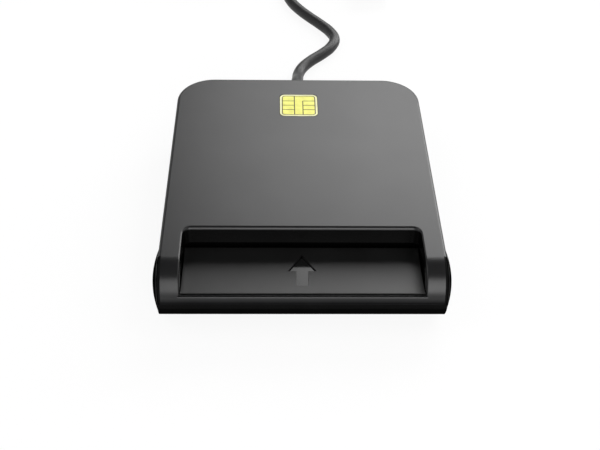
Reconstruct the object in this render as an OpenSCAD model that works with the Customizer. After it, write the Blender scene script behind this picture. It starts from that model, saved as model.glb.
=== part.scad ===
// Desktop smart card reader: a flat case with a rolled front edge, a finger
// recess that leads the card into a slot, and a USB lead at the back.
// Millimetres. The front is -Y, the desk is z = 0, and the origin is under
// the middle of the case.

/* [Case] */
// Length from the front of the roll to the rear wall
body_length = 81; // [74:0.5:92]
// Width over the flat cheeks, without the end caps
body_width = 66.8; // [58:0.2:76]
// Width of each cheek beside the recess
cheek_width = 5.15; // [4.8:0.05:7]
// Height of the case, which is the diameter of the front roll
body_height = 15.8; // [15.6:0.1:18]
// Thickness of the moulded walls
wall = 1.8; // [1.6:0.1:2]
// Plan radius of the two rear corners
corner_radius = 10; // [8:0.5:11]
// Radius of the long edges
edge_radius = 1.2; // [0.6:0.1:1.5]
// How far an end cap bulges out of the cheek
cap_bulge = 1.6; // [0.8:0.1:2.5]
// How far a cap's rim is set in from the edge of the roll
cap_inset = 0.5; // [0.3:0.1:1]
// Length of the cap's spigot in the roll
cap_spigot = 2.8; // [1.5:0.1:3]
// Height of the bottom cover's rim inside the top cover
rim_height = 1.1; // [0.6:0.1:1.5]

/* [Card recess] */
// Thickness of the card
card_thickness = 0.76; // [0.68:0.01:0.84]
// Depth of the card's underside below the top face
card_depth = 5.5; // [5.3:0.1:6]
// Gap between the card and each side wall of the recess
recess_side_gap = 1.26; // [0.8:0.02:1.4]
// Length of the recess from the front of the roll
recess_length = 17.8; // [16:0.1:19]
// Plan radius of the rear corners of the recess
recess_corner = 1.9; // [1:0.1:4]
// Thickness of the walls of the recess
recess_wall = 1.5; // [1.2:0.1:1.5]
// Depth of the hollow in the tray
tray_sag = 0.8; // [0.3:0.1:1]
// Thickness of the tray under the hollow
tray_thickness = 1.2; // [1:0.1:1.4]
// Length of the engraved arrow
arrow_length = 9.7; // [6:0.1:12]
// Width of the arrow head
arrow_width = 6.8; // [4:0.1:10]
// Width of the arrow stem
arrow_stem = 2.8; // [1.5:0.1:4]

/* [Chip emblem] */
// Width of the emblem on the top face
emblem_width = 10.4; // [8:0.1:14]
// Length of the emblem along the case
emblem_length = 10.2; // [8:0.1:13]
// Distance from the emblem's centre to the rear wall
emblem_setback = 12.9; // [9:0.1:20]
// Thickness of the emblem, which lies flush in the top face
emblem_thickness = 0.3; // [0.2:0.05:0.5]

/* [Feet and label] */
// Height of the case above the desk
foot_stand = 0.8; // [0.5:0.1:1.2]
// Diameter of a rubber foot
foot_diameter = 8; // [6:0.5:9]
// Depth of the pocket that a foot is glued in
foot_pocket = 0.8; // [0.5:0.1:1]
// Width of the blank label
label_width = 32; // [20:1:34]
// Length of the blank label
label_length = 24; // [12:1:28]

/* [Circuit board] */
// Gap between the board and each side wall of the case
board_side_gap = 1.6; // [0.4:0.1:2]
// Thickness of the board
board_thickness = 1.6; // [1:0.1:1.6]
// Height of the card lane above the board
board_drop = 0.5; // [0.4:0.05:0.6]
// Distance from the card's stop to the rear wall
stop_setback = 15; // [14.5:0.5:20]

/* [Card contacts] */
// Width of one contact blade
blade_width = 1.2; // [0.8:0.1:1.4]
// Length from a blade's root to its touching point
blade_length = 5.6; // [5:0.1:6]
// Thickness of the blade's strip
blade_thickness = 0.2; // [0.15:0.01:0.3]
// How far a card lifts the touching point
blade_lift = 0.5; // [0.3:0.05:0.6]

/* [Lead and plug] */
// Diameter of the lead
cord_diameter = 3.5; // [3:0.1:3.8]
// Length of the plug's moulded grip
plug_length = 26; // [20:1:32]
// Width of the plug's grip
plug_width = 15.6; // [14:0.2:17]
// Height of the plug's grip
plug_height = 8; // [7:0.1:9]

/* [Hidden] */
$fn = 64;

// Case levels and edges
half_width = body_width / 2;
roll_radius = body_height / 2;
rear_y = body_length / 2;
front_y = -rear_y;
roll_y = front_y + roll_radius;
roll_z = foot_stand + roll_radius;
top_z = foot_stand + body_height;
ceiling_z = top_z - wall;
floor_z = foot_stand + wall;
bore_radius = roll_radius - wall;
cap_wall = 1.4;
// Room that every cut runs past the faces it opens
overrun = 1;
// Gap between mating mouldings
mould_gap = 0.15;

// Card lane
card_z = top_z - card_depth;
card_top_z = card_z + card_thickness;
// Gap over the card at the slot
slot_head = 0.2;
slot_top_z = card_top_z + slot_head;
recess_half = half_width - cheek_width;
card_half = recess_half - recess_side_gap;
recess_rear_y = front_y + recess_length;
// How far the front lip and the tray's rear edge lie under the card
lip_drop = 0.05;
tray_edge_drop = 0.35;
lip_z = card_z - lip_drop;
lip_y = roll_y - sqrt(pow(roll_radius, 2) - pow(lip_z - roll_z, 2));
// Width of the lip in front of the tray
lip_land = 0.4;

// Tray: its hollow is an arc from the slot edge to the lip
tray_rear_gap = 0.7;
tray_rear_y = recess_rear_y - tray_rear_gap;
tray_rear_z = card_z - tray_edge_drop;
tray_front_y = lip_y + lip_land + mould_gap;
tray_chord = [tray_front_y - tray_rear_y, lip_z - tray_rear_z];
tray_arc = pow(norm(tray_chord), 2) / (8 * tray_sag) + tray_sag / 2;
tray_up = [tray_chord[1], -tray_chord[0]] / norm(tray_chord);
tray_centre = [tray_rear_y, tray_rear_z] + tray_chord / 2 + tray_up * (tray_arc - tray_sag);
tray_base_z = tray_centre[1] - tray_arc - tray_thickness;
tray_half = recess_half - mould_gap;
// Front tongue of the tray, which rests on the seat behind the lip
tongue_drop = 0.9;
tongue_length = 1.3;
tray_seat_z = lip_z - tongue_drop;
// Ledges of the top cover that the tray rests on
ledge_width = 1.6;
ledge_thickness = 1.2;
ledge_front_gap = 2.6;
arrow_depth = 0.25;
arrow_setback = 3.4;
arrow_head_share = 0.48;
arrow_tip_y = tray_rear_y - arrow_setback;
arrow_z = tray_base_z + tray_thickness - arrow_depth;

// Chip emblem
emblem_y = rear_y - emblem_setback;
emblem_corner = 1.2;
emblem_gap = 0.05;
emblem_groove = 0.35;
emblem_land_share = 0.34;
emblem_rows_share = [-0.25, 0, 0.25];

// Screws
screw_radius = 1;
screw_gap = 0.05;
screw_head_radius = 1.9;
screw_head_height = 1.4;
screw_socket_radius = 0.8;
screw_socket_depth = 0.8;
// Solid plastic between a screw's head and the joint
screw_seat = 1.6;
boss_radius = 2.5;
boss_gap = 0.2;
column_radius = 2.9;
front_screw_side = 15.4;
front_screw_x = half_width - front_screw_side;
front_screw_setback = 6.6;
front_screw_y = tray_rear_y - front_screw_setback;
front_boss_rise = 5.2;
front_boss_z = foot_stand + front_boss_rise;
front_tip_rise = 0.3;
front_tip_z = tray_base_z + front_tip_rise;
rear_screw_side = 7.4;
rear_screw_back = 6.5;
rear_screw_x = half_width - rear_screw_side;
rear_screw_y = rear_y - rear_screw_back;
rear_screw_bite = 4;

// Feet, label and ribs
foot_radius = foot_diameter / 2;
foot_top_z = foot_stand + foot_pocket;
foot_gap = 0.15;
foot_chamfer = 0.4;
foot_side = 7.4;
foot_front = 14.6;
foot_rear = 16.5;
foot_x = half_width - foot_side;
foot_front_y = front_y + foot_front;
foot_rear_y = rear_y - foot_rear;
label_thickness = 0.2;
label_pocket = 0.3;
label_gap = 0.4;
label_corner = 2;
label_y = 1;
rib_x = 10;
rib_width = 1;
rib_height = 1.2;
rib_front_y = -24;
rib_rear_y = 30;

// Circuit board and its posts
board_top_z = card_z - board_drop;
board_z = board_top_z - board_thickness;
board_front_gap = 0.2;
board_front_y = recess_rear_y + recess_wall + board_front_gap;
board_rear_gap = 0.4;
board_rear_y = rear_screw_y - column_radius - board_rear_gap;
board_half = half_width - wall - board_side_gap;
post_radius = 2.1;
post_inset = 2.8;
post_front_inset = 2.6;
post_rear_inset = 2.2;
post_x = board_half - post_inset;
post_front_y = board_front_y + post_front_inset;
post_rear_y = board_rear_y - post_rear_inset;
pin_radius = 0.75;
pin_hole_gap = 0.15;
pin_stub = 0.3;
board_screw_radius = 0.9;
board_head_radius = 1.7;
board_head_height = 1.2;
board_screw_length = 5;

// Connector frame
lane_gap = 0.16;
lane_half = card_half + lane_gap;
lane_head = 0.3;
lane_top_z = card_top_z + lane_head;
stop_y = rear_y - stop_setback;
rail_width = 2;
rail_half = lane_half + rail_width;
shelf_width = 1.5;
frame_front_gap = 1.6;
frame_front_y = board_front_y + frame_front_gap;
frame_wall = 1.2;
frame_rear_y = stop_y + frame_wall;
frame_ceiling_gap = 0.4;
frame_top_z = ceiling_z - frame_ceiling_gap;
bridge_length = 4.5;
carrier_front = 4.5;
carrier_rear = 3.2;

// Contacts: distances of the two rows from the card's leading edge, and of
// the four lanes from the card's middle line
row_near = 11.25;
row_far = 18.87;
lane_pitch = 2.54;
first_lane = 6.91;
row_rear_y = stop_y - row_near;
row_front_y = stop_y - row_far;
blade_side_gap = 0.3;
blade_end_gap = 0.25;
blade_root_radius = 0.3;
blade_tip_radius = 0.4;
blade_upturn = 0.6;
blade_root_z = (lane_top_z + frame_top_z) / 2;
blade_tip_z = card_top_z - blade_lift + blade_tip_radius;
tail_thickness = 0.2;
tail_width = 0.6;
tail_gap = 0.12;
tail_step = 1.1;
carrier_front_y = row_front_y - blade_length - carrier_front;
carrier_rear_y = row_rear_y + carrier_rear;

// Card switch: a lever on an upright pin behind the card's stop
switch_pin_radius = 0.4;
switch_pin_gap = 0.06;
switch_eye_radius = 0.95;
switch_side = 11.95;
switch_pin_x = switch_side - lane_half;
switch_back = 3.1;
switch_pin_y = stop_y + switch_back;
switch_arm = 6.4;
switch_strip = 0.6;
switch_reach = 0.9;
switch_base = 0.45;
switch_gap = 0.1;
switch_block_length = 4.2;
switch_block_gap = 1.5;
switch_block_depth = 2.5;
switch_block_height = 2;
lever_height = 0.9;
lever_window = 1.4;
lever_z = board_top_z + switch_base + switch_gap;

// Lead socket under the board
socket_width = 9.5;
socket_length = 5.6;
socket_floor_gap = 2;
socket_height = board_z - floor_z - socket_floor_gap;
socket_wall = 0.7;
socket_setback = 10.7;
socket_y = board_rear_y - socket_setback;
socket_inset = [2 * socket_wall, 0, 2 * socket_wall];
crimp_gap = 0.1;
crimp_out = 2;
crimp_slack = [2 * crimp_gap, 2 * crimp_gap, 2 * crimp_gap];
crimp_y = socket_y + socket_length / 2 + socket_wall + crimp_out - crimp_gap;
crimp_z = board_z - socket_height / 2;
wire_count = 4;
wire_pitch = 1.6;
wire_bundle = 0.6;
wire_radius = 0.4;
wire_lead = 1;
wire_colors = ["red", "white", "green", "black"];

// Parts on the board
pad_thickness = 0.1;
controller_size = 7;
controller_height = 1;
controller_x = 6;
controller_back = 16;
controller_y = socket_y - controller_back;
pin_pitch = 0.8;
pins_per_side = 8;
pin_width = 0.3;
pin_reach = 1;
pin_height = 0.4;
crystal_length = 11;
crystal_width = 4.6;
crystal_height = 3.5;
crystal_x = -14;
crystal_forward = 2;
crystal_y = controller_y - crystal_forward;
capacitor_radius = 2.5;
capacitor_floor_gap = 1.2;
capacitor_height = board_z - floor_z - capacitor_floor_gap;
capacitor_base = 0.6;
capacitor_base_size = 5.4;
capacitor_side = 12;
capacitor_x = board_half - capacitor_side;
capacitor_setback = 14.7;
capacitor_y = board_rear_y - capacitor_setback;
ceramic_size = [2, 1.25, 0.9];
ceramic_forward = 10;
ceramic_row_y = controller_y - ceramic_forward;
ceramic_pitch = 4;
ceramic_count = 6;
resistor_size = [1.6, 0.8, 0.5];
resistor_back = 8;
resistor_row_y = socket_y - resistor_back;
resistor_pitch = 3;
resistor_count = 4;
led_size = [1.4, 0.8, 0.6];
led_gap = 0.35;

// Lead where it passes the rear wall
cord_radius = cord_diameter / 2;
relief_neck = 0.65;
relief_flange = 1.75;
relief_tip = 0.5;
relief_rib = 0.35;
relief_inner_length = 1.4;
relief_outer_length = 1.3;
relief_boot_length = 6.2;
relief_slack = 0.1;
relief_z = floor_z + cord_radius + relief_flange + relief_slack;
bore_slack = 0.02;
jacket_inside = 4.4;
jacket_y = rear_y - wall - jacket_inside;
boot_end_y = rear_y + relief_slack + relief_outer_length + relief_boot_length;
notch_half = cord_radius + relief_neck + relief_slack;
notch_gap = 0.1;
rim_gap = 0.6;

// Route of the lead from the boot to the coil, chosen by hand
lead_route = [[0, 48.1, 6.2], [0, 52, 6.2], [0.2, 57, 4.8], [0.5, 61.5, 2.8], [0.8, 65.3, 1.9],
  [2, 69, 1.75], [4.8, 73.2, 1.75], [8.6, 77.4, 1.75], [11.6, 81.6, 1.75], [13, 86.4, 1.75],
  [11.8, 90.8, 1.75], [8.8, 95.6, 1.75], [5, 100.7, 1.75], [1.6, 105.8, 1.75], [-0.9, 110.8, 1.75],
  [-2.4, 116.5, 1.75], [-3, 123, 1.75], [-2.4, 130, 1.75], [-1, 137, 1.85], [0, 142.5, 2],
  [0, 146.5, 2]];
// Route of the tail from the coil to the plug, chosen by hand
tail_route = [[0, 153.5, 6.05], [0, 157, 6.05], [0.9, 162.5, 5], [3.2, 168, 3], [7.5, 172.6, 1.9],
  [13.5, 175, 1.75], [19.5, 174, 1.9], [24.3, 170.2, 2.8], [26.7, 165.6, 3.8], [27, 162, 4],
  [27, 158.5, 4]];
tube_sides = 8;

// Coil: loops spiral in on the desk, then out again one layer up
coil_loops = 6;
coil_outer = 27;
coil_pitch = 4.1;
coil_layer = 4.05;
coil_centre = [-27, 150];
// Strap round the coil, which lifts it off the desk by its own thickness
tie_thickness = 0.2;
tie_gap = 0.05;
tie_side_gap = 0.4;
tie_width = 4;
coil_rest_z = cord_radius + tie_thickness + tie_gap;
coil_steps = 24;
coil_sides = 6;
coil_straight = 3.5;

// Plug
plug_end = tail_route[len(tail_route) - 1];
plug_x = plug_end[0];
plug_z = plug_height / 2;
plug_boot_length = 7;
plug_boot_radius = 3.2;
plug_boot_tip = 0.5;
plug_corner = 2;
plug_grip_y = plug_end[1] - plug_boot_length;
plug_face_y = plug_grip_y - plug_length;
usb_width = 12;
usb_height = 4.5;
usb_wall = 0.3;
usb_out = 11.8;
usb_in = 4;
usb_gap = 0.05;
usb_window = [2, 1.8];
usb_window_x = 2.8;
usb_window_y = 5.2;
tongue_thickness = 1.9;
tongue_base = 2.6;
tongue_set_back = 0.6;
tongue_side_gap = 0.1;
usb_pin_width = 1;
usb_pin_thickness = 0.12;
usb_pin_length = 7.4;
usb_pin_back = 1.4;
usb_pin_xs_share = [-0.292, -0.083, 0.083, 0.292];

// Shapes shared by several pieces

// Box given by its low and high corners
module span(low, high) {
  translate(low) cube(high - low);
}

// Upright cylinder
module post(x, y, low, high, radius) {
  translate([x, y, low]) cylinder(h = high - low, r = radius);
}

// Cylinder along X from one end to the other
module axle(low, high, y, z, radius) {
  translate([low, y, z]) rotate([0, 90, 0]) cylinder(h = high - low, r = radius);
}

// Flat plate with round corners, standing on z = low
module round_plate(width, length, low, high, radius) {
  translate([0, 0, low]) linear_extrude(high - low) round_rectangle(width, length, radius);
}

module round_rectangle(width, length, radius) {
  square([width - 2 * radius, length], center = true);
  square([width, length - 2 * radius], center = true);
  for (side = [-1, 1], end = [-1, 1]) {
    translate([side * (width / 2 - radius), end * (length / 2 - radius)]) circle(r = radius);
  }
}

// Plan of the case: square at the roll, two round corners at the back
module case_plan(inset) {
  reach = half_width - inset;
  corner = corner_radius - inset;
  translate([-reach, front_y + inset]) square([2 * reach, body_length - corner_radius - inset]);
  translate([-(half_width - corner_radius), front_y + inset]) {
    square([body_width - 2 * corner_radius, body_length - 2 * inset]);
  }
  for (side = [-1, 1]) {
    translate([side * (half_width - corner_radius), rear_y - corner_radius]) circle(r = corner);
  }
}

// Side view of the case: the roll in front and a flat body behind it
module case_side(inset) {
  corner = max(edge_radius - inset, 0);
  height = body_height - 2 * inset;
  low = foot_stand + inset;
  end = rear_y - inset;
  translate([roll_y, roll_z]) circle(r = roll_radius - inset);
  translate([roll_y, low]) square([end - roll_y - corner, height]);
  if (corner > 0) {
    translate([end - 2 * corner, low + corner]) square([2 * corner, height - 2 * corner]);
    for (z = [low + corner, low + height - corner]) {
      translate([end - corner, z]) circle(r = corner);
    }
  }
}

// Solid form of the case, drawn in from its skin by an inset
module case_form(inset) {
  reach = half_width - inset;
  intersection() {
    linear_extrude(top_z + overrun) case_plan(inset);
    translate([-reach, 0, 0]) rotate([90, 0, 90]) linear_extrude(2 * reach) case_side(inset);
    if (inset < edge_radius) {
      translate([0, rear_y + overrun, foot_stand + roll_radius]) rotate([90, 0, 0]) {
        linear_extrude(body_length + 2 * overrun) {
          round_rectangle(2 * reach, body_height - 2 * inset, edge_radius);
        }
      }
    }
  }
}

// Everything above or below the joint face of the two covers
module half_space(low, high) {
  span([-body_width, -body_length, low], [body_width, body_length, high]);
}

// Ring that the two covers share at the joint, open across the roll
module rim(inner, outer, height) {
  difference() {
    translate([0, 0, roll_z]) linear_extrude(height) difference() {
      case_plan(outer);
      case_plan(inner);
    }
    span([-body_width, -body_length, 0], [body_width, recess_rear_y, top_z]);
    span([-notch_half - rim_gap, 0, 0], [notch_half + rim_gap, body_length, top_z]);
  }
}

// The cavities that the end caps' spigots sit in
module cap_bores() {
  for (side = [-1, 1]) {
    middle = side * (half_width - wall / 2);
    axle(middle - wall, middle + wall, roll_y, roll_z, bore_radius);
  }
}

// Screw lying along +Z with its head at the bottom
module screw(x, y, head_low, tip, radius, head_radius, head_height) {
  difference() {
    union() {
      post(x, y, head_low, head_low + head_height, head_radius);
      post(x, y, head_low, tip, radius);
    }
    post(x, y, head_low - overrun, head_low + screw_socket_depth, screw_socket_radius, $fn = 6);
  }
}

// Case

module top_cover() {
  color([0.2, 0.2, 0.21]) {
    difference() {
      union() {
        difference() {
          intersection() {
            case_form(0);
            half_space(roll_z, top_z + overrun);
          }
          case_form(wall);
        }
        intersection() {
          case_form(0);
          recess_walls();
        }
        recess_ledges();
        for (side = [-1, 1]) {
          post(side * rear_screw_x, rear_screw_y, roll_z, ceiling_z + wall / 2, boss_radius);
        }
        relief_tab();
      }
      pocket();
      rim(wall + overrun, wall / 2, rim_height + mould_gap);
      cap_bores();
      emblem_pocket();
      for (side = [-1, 1]) {
        post(side * rear_screw_x, rear_screw_y, roll_z - overrun, ceiling_z - wall / 2,
          screw_radius + screw_gap);
      }
    }
  }
}

// Side walls and rear wall of the recess, before the pocket is cut
module recess_walls() {
  outer_half = recess_half + recess_wall;
  wall_rear_y = recess_rear_y + recess_wall;
  span([-outer_half, recess_rear_y - recess_corner - recess_wall, slot_top_z],
    [outer_half, wall_rear_y, top_z]);
  for (side = [-1, 1]) {
    middle = side * (recess_half + recess_wall / 2);
    span([middle - recess_wall / 2, front_y, roll_z], [middle + recess_wall / 2, wall_rear_y, top_z]);
  }
}

// Ledges under the tray, hung from the side walls inside the bottom cover
module recess_ledges() {
  for (side = [-1, 1]) {
    inner = side * (recess_half - ledge_width);
    outer = side * (recess_half + recess_wall);
    span([min(inner, outer), tray_front_y + ledge_front_gap, tray_base_z - ledge_thickness],
      [max(inner, outer), tray_rear_y, tray_base_z]);
    middle = side * (recess_half + recess_wall / 2);
    span([middle - recess_wall / 2, tray_front_y + ledge_front_gap, tray_base_z - ledge_thickness],
      [middle + recess_wall / 2, tray_rear_y, roll_z + overrun]);
  }
}

// The open space over the tray, and the seat for the tray's front tongue
module pocket() {
  translate([0, 0, lip_z]) linear_extrude(top_z - lip_z + overrun) pocket_plan(front_y - overrun);
  translate([0, 0, tray_seat_z]) {
    linear_extrude(top_z - tray_seat_z) pocket_plan(tray_front_y - mould_gap);
  }
}

module pocket_plan(front) {
  translate([-recess_half, front]) square([2 * recess_half, recess_rear_y - recess_corner - front]);
  translate([-(recess_half - recess_corner), front]) {
    square([2 * (recess_half - recess_corner), recess_rear_y - front]);
  }
  for (side = [-1, 1]) {
    translate([side * (recess_half - recess_corner), recess_rear_y - recess_corner]) {
      circle(r = recess_corner);
    }
  }
}

module emblem_pocket() {
  translate([0, emblem_y, 0]) {
    round_plate(emblem_width + 2 * emblem_gap, emblem_length + 2 * emblem_gap,
      top_z - emblem_thickness, top_z + overrun, emblem_corner + emblem_gap);
  }
}

// Tab of the top cover that closes the passage over the strain relief
module relief_tab() {
  difference() {
    span([-notch_half + notch_gap, rear_y - wall, relief_z],
      [notch_half - notch_gap, rear_y, roll_z + overrun]);
    relief_passage();
  }
}

// Round hole for the strain relief's neck
module relief_passage() {
  translate([0, rear_y + overrun, relief_z]) rotate([90, 0, 0]) {
    cylinder(h = wall + 2 * overrun, r = cord_radius + relief_neck + relief_slack);
  }
}

module bottom_cover() {
  color([0.1, 0.1, 0.1]) {
    difference() {
      union() {
        difference() {
          intersection() {
            case_form(0);
            half_space(0, roll_z);
          }
          case_form(wall);
        }
        rim(wall, wall / 2 + mould_gap, rim_height);
        screw_columns();
        board_posts();
        cover_ribs();
      }
      relief_passage();
      span([-notch_half, rear_y - wall - overrun, relief_z],
        [notch_half, rear_y + overrun, roll_z + overrun]);
      cap_bores();
      screw_holes();
      foot_pockets();
      translate([0, label_y, 0]) {
        round_plate(label_width + 2 * label_gap, label_length + 2 * label_gap, 0,
          foot_stand + label_pocket, label_corner);
      }
    }
  }
}

module screw_columns() {
  for (side = [-1, 1]) {
    post(side * front_screw_x, front_screw_y, floor_z - wall / 2, front_boss_z, column_radius);
    post(side * rear_screw_x, rear_screw_y, floor_z - wall / 2, roll_z, column_radius);
  }
}

module screw_holes() {
  for (side = [-1, 1]) {
    screw_hole(side * front_screw_x, front_screw_y, front_boss_z);
    screw_hole(side * rear_screw_x, rear_screw_y, roll_z);
  }
}

// Clearance hole with a counterbore that leaves the seat under the joint
module screw_hole(x, y, joint_z) {
  post(x, y, 0, joint_z - screw_seat, screw_head_radius + mould_gap);
  post(x, y, 0, joint_z + overrun, screw_radius + mould_gap);
}

module board_posts() {
  for (side = [-1, 1]) {
    post(side * post_x, post_front_y, floor_z - wall / 2, board_z, post_radius);
    post(side * post_x, post_front_y, board_z - overrun, board_top_z - pin_stub, pin_radius);
    difference() {
      post(side * post_x, post_rear_y, floor_z - wall / 2, board_z, post_radius);
      post(side * post_x, post_rear_y, floor_z, board_z + overrun, board_screw_radius + screw_gap);
    }
  }
}

// Two long ribs that stiffen the floor
module cover_ribs() {
  for (side = [-1, 1]) {
    middle = side * rib_x;
    span([middle - rib_width / 2, rib_front_y, floor_z - wall / 2],
      [middle + rib_width / 2, rib_rear_y, floor_z + rib_height]);
  }
}

module foot_pockets() {
  for (x = [-foot_x, foot_x], y = [foot_front_y, foot_rear_y]) {
    post(x, y, 0, foot_top_z, foot_radius + foot_gap);
  }
}

module card_tray() {
  color([0.12, 0.12, 0.13]) {
    difference() {
      union() {
        span([-tray_half, tray_front_y + tongue_length, tray_base_z], [tray_half, tray_rear_y, card_z]);
        span([-tray_half, tray_front_y, tray_seat_z], [tray_half, tray_rear_y, card_z]);
        for (side = [-1, 1]) {
          post(side * front_screw_x, front_screw_y, front_boss_z + boss_gap,
            tray_base_z + tray_thickness / 2, boss_radius);
        }
      }
      axle(-half_width, half_width, tray_centre[0], tray_centre[1], tray_arc, $fn = 180);
      for (side = [-1, 1]) {
        post(side * front_screw_x, front_screw_y, front_boss_z - overrun,
          front_tip_z + mould_gap, screw_radius + screw_gap);
      }
      translate([0, arrow_tip_y, arrow_z]) linear_extrude(overrun) arrow();
    }
  }
}

// Arrow that points back into the slot, with its tip at the origin
module arrow() {
  head = arrow_length * arrow_head_share;
  polygon([[0, 0], [arrow_width / 2, -head], [arrow_stem / 2, -head],
    [arrow_stem / 2, -arrow_length], [-arrow_stem / 2, -arrow_length], [-arrow_stem / 2, -head],
    [-arrow_width / 2, -head]]);
}

// End cap for one end of the roll: a shallow dome with a hollow spigot
module end_cap(side) {
  rim_radius = roll_radius - cap_inset;
  dome = (pow(rim_radius, 2) + pow(cap_bulge, 2)) / (2 * cap_bulge);
  spigot_radius = bore_radius - mould_gap;
  color([0.04, 0.04, 0.04]) translate([side * half_width, roll_y, roll_z]) {
    rotate([0, side * 90, 0]) rotate_extrude() {
      intersection() {
        translate([0, cap_bulge - dome]) circle(r = dome, $fn = 180);
        square([rim_radius, cap_bulge]);
      }
      translate([spigot_radius - cap_wall, -cap_spigot]) square([cap_wall, cap_spigot + cap_bulge / 4]);
    }
  }
}

module end_cap_left() {
  end_cap(-1);
}

module end_cap_right() {
  end_cap(1);
}

// Gold chip picture: eight fields round a middle land, parted by grooves
module chip_emblem() {
  groove = emblem_groove / 2;
  depth = top_z - emblem_thickness / 2;
  column = emblem_width * emblem_land_share / 2;
  color([0.86, 0.76, 0.3]) translate([0, emblem_y, 0]) difference() {
    round_plate(emblem_width, emblem_length, top_z - emblem_thickness, top_z, emblem_corner);
    for (share = emblem_rows_share) {
      y = emblem_length * share;
      span([-emblem_width, y - groove, depth], [-column, y + groove, top_z + overrun]);
      span([column, y - groove, depth], [emblem_width, y + groove, top_z + overrun]);
    }
    for (side = [-1, 1]) {
      span([side * column - groove, -emblem_length, depth],
        [side * column + groove, emblem_length, top_z + overrun]);
    }
  }
}

module foot(x, y) {
  color([0.15, 0.15, 0.15]) {
    post(x, y, foot_chamfer, foot_top_z, foot_radius);
    post(x, y, 0, foot_top_z, foot_radius - foot_chamfer);
  }
}

module foot_front_left() {
  foot(-foot_x, foot_front_y);
}

module foot_front_right() {
  foot(foot_x, foot_front_y);
}

module foot_rear_left() {
  foot(-foot_x, foot_rear_y);
}

module foot_rear_right() {
  foot(foot_x, foot_rear_y);
}

module rating_label() {
  color([0.85, 0.85, 0.83]) translate([0, label_y, 0]) {
    round_plate(label_width, label_length, foot_stand + label_pocket - label_thickness,
      foot_stand + label_pocket, label_corner - label_gap);
  }
}

module front_screws() {
  low = front_boss_z - screw_seat - screw_head_height;
  color([0.6, 0.6, 0.6]) for (side = [-1, 1]) {
    screw(side * front_screw_x, front_screw_y, low, front_tip_z, screw_radius,
      screw_head_radius, screw_head_height);
  }
}

module rear_screws() {
  low = roll_z - screw_seat - screw_head_height;
  color([0.6, 0.6, 0.6]) for (side = [-1, 1]) {
    screw(side * rear_screw_x, rear_screw_y, low, roll_z + rear_screw_bite, screw_radius,
      screw_head_radius, screw_head_height);
  }
}

// The board's two screws hang head up
module board_screws() {
  color([0.6, 0.6, 0.6]) for (side = [-1, 1]) {
    translate([side * post_x, post_rear_y, board_top_z + board_head_height]) mirror([0, 0, 1]) {
      screw(0, 0, 0, board_head_height + board_screw_length, board_screw_radius,
        board_head_radius, board_head_height);
    }
  }
}

// Electronics

module circuit_board() {
  color([0.1, 0.35, 0.2]) difference() {
    span([-board_half, board_front_y, board_z], [board_half, board_rear_y, board_top_z]);
    for (side = [-1, 1]) {
      post(side * post_x, post_front_y, board_z - overrun, board_top_z + overrun,
        pin_radius + pin_hole_gap);
      post(side * post_x, post_rear_y, board_z - overrun, board_top_z + overrun,
        board_screw_radius + pin_hole_gap);
    }
  }
}

// Frame that stands on the board over the card lane and carries the contacts
module connector_frame() {
  color([0.13, 0.13, 0.13]) difference() {
    union() {
      for (side = [-1, 1]) {
        frame_rail(side * (lane_half + rail_width / 2), rail_width, frame_top_z);
        frame_rail(side * (lane_half - shelf_width / 2), shelf_width + overrun / 2, card_z);
      }
      span([-rail_half, frame_front_y, lane_top_z],
        [rail_half, frame_front_y + bridge_length, frame_top_z]);
      span([-rail_half, carrier_front_y, lane_top_z], [rail_half, carrier_rear_y, frame_top_z]);
      span([-rail_half, stop_y, board_top_z], [rail_half, frame_rear_y, frame_top_z]);
    }
    for (row = [0, 1], lane = [0:3]) {
      blade_window(lane_x(lane), row_y(row));
    }
    window_x = switch_pin_x - switch_arm;
    span([window_x - lever_window, stop_y - overrun, board_top_z - overrun],
      [window_x + lever_window, frame_rear_y + overrun, card_top_z + lever_window]);
  }
}

module frame_rail(x, width, high) {
  span([x - width / 2, frame_front_y, board_top_z], [x + width / 2, frame_rear_y, high]);
}

function lane_x(lane) = first_lane - lane * lane_pitch;
function row_y(row) = row == 0 ? row_rear_y : row_front_y;

module blade_window(x, tip_y) {
  reach = blade_width / 2 + blade_side_gap;
  span([x - reach, window_front(tip_y), lane_top_z - overrun],
    [x + reach, tip_y + blade_upturn + blade_end_gap, frame_top_z + overrun]);
}

function window_front(tip_y) =
  tip_y - blade_length - blade_root_radius - tail_gap - tail_thickness;

// One spring blade, seen from the side in Y and Z and as wide as the blade
module blade(x, tip_y) {
  root = [tip_y - blade_length, blade_root_z];
  tip = [tip_y, blade_tip_z];
  color([0.9, 0.76, 0.36]) translate([x - blade_width / 2, 0, 0]) rotate([90, 0, 90]) {
    linear_extrude(blade_width) {
      translate(root) circle(r = blade_root_radius, $fn = 24);
      translate(tip) circle(r = blade_tip_radius, $fn = 24);
      strip(root, tip);
      strip(tip, tip + [blade_upturn, blade_upturn]);
    }
  }
}

module strip(from, to) {
  run = to - from;
  translate(from) rotate(atan2(run[1], run[0])) translate([0, -blade_thickness / 2]) {
    square([norm(run), blade_thickness]);
  }
}

module contact(number) {
  row = number <= 4 ? 0 : 1;
  blade(lane_x((number - 1) % 4), row_y(row));
}

module contact_c1() {
  contact(1);
}

module contact_c2() {
  contact(2);
}

module contact_c3() {
  contact(3);
}

module contact_c4() {
  contact(4);
}

module contact_c5() {
  contact(5);
}

module contact_c6() {
  contact(6);
}

module contact_c7() {
  contact(7);
}

module contact_c8() {
  contact(8);
}

// Fixed ends of the eight contacts, led over the frame and down to the board
module contact_tails() {
  color([0.8, 0.7, 0.4]) for (row = [0, 1], lane = [0:3]) {
    contact_tail(lane_x(lane), window_front(row_y(row)), lane < 2 ? 1 : -1, lane % 3 == 0 ? 1 : 2);
  }
}

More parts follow.
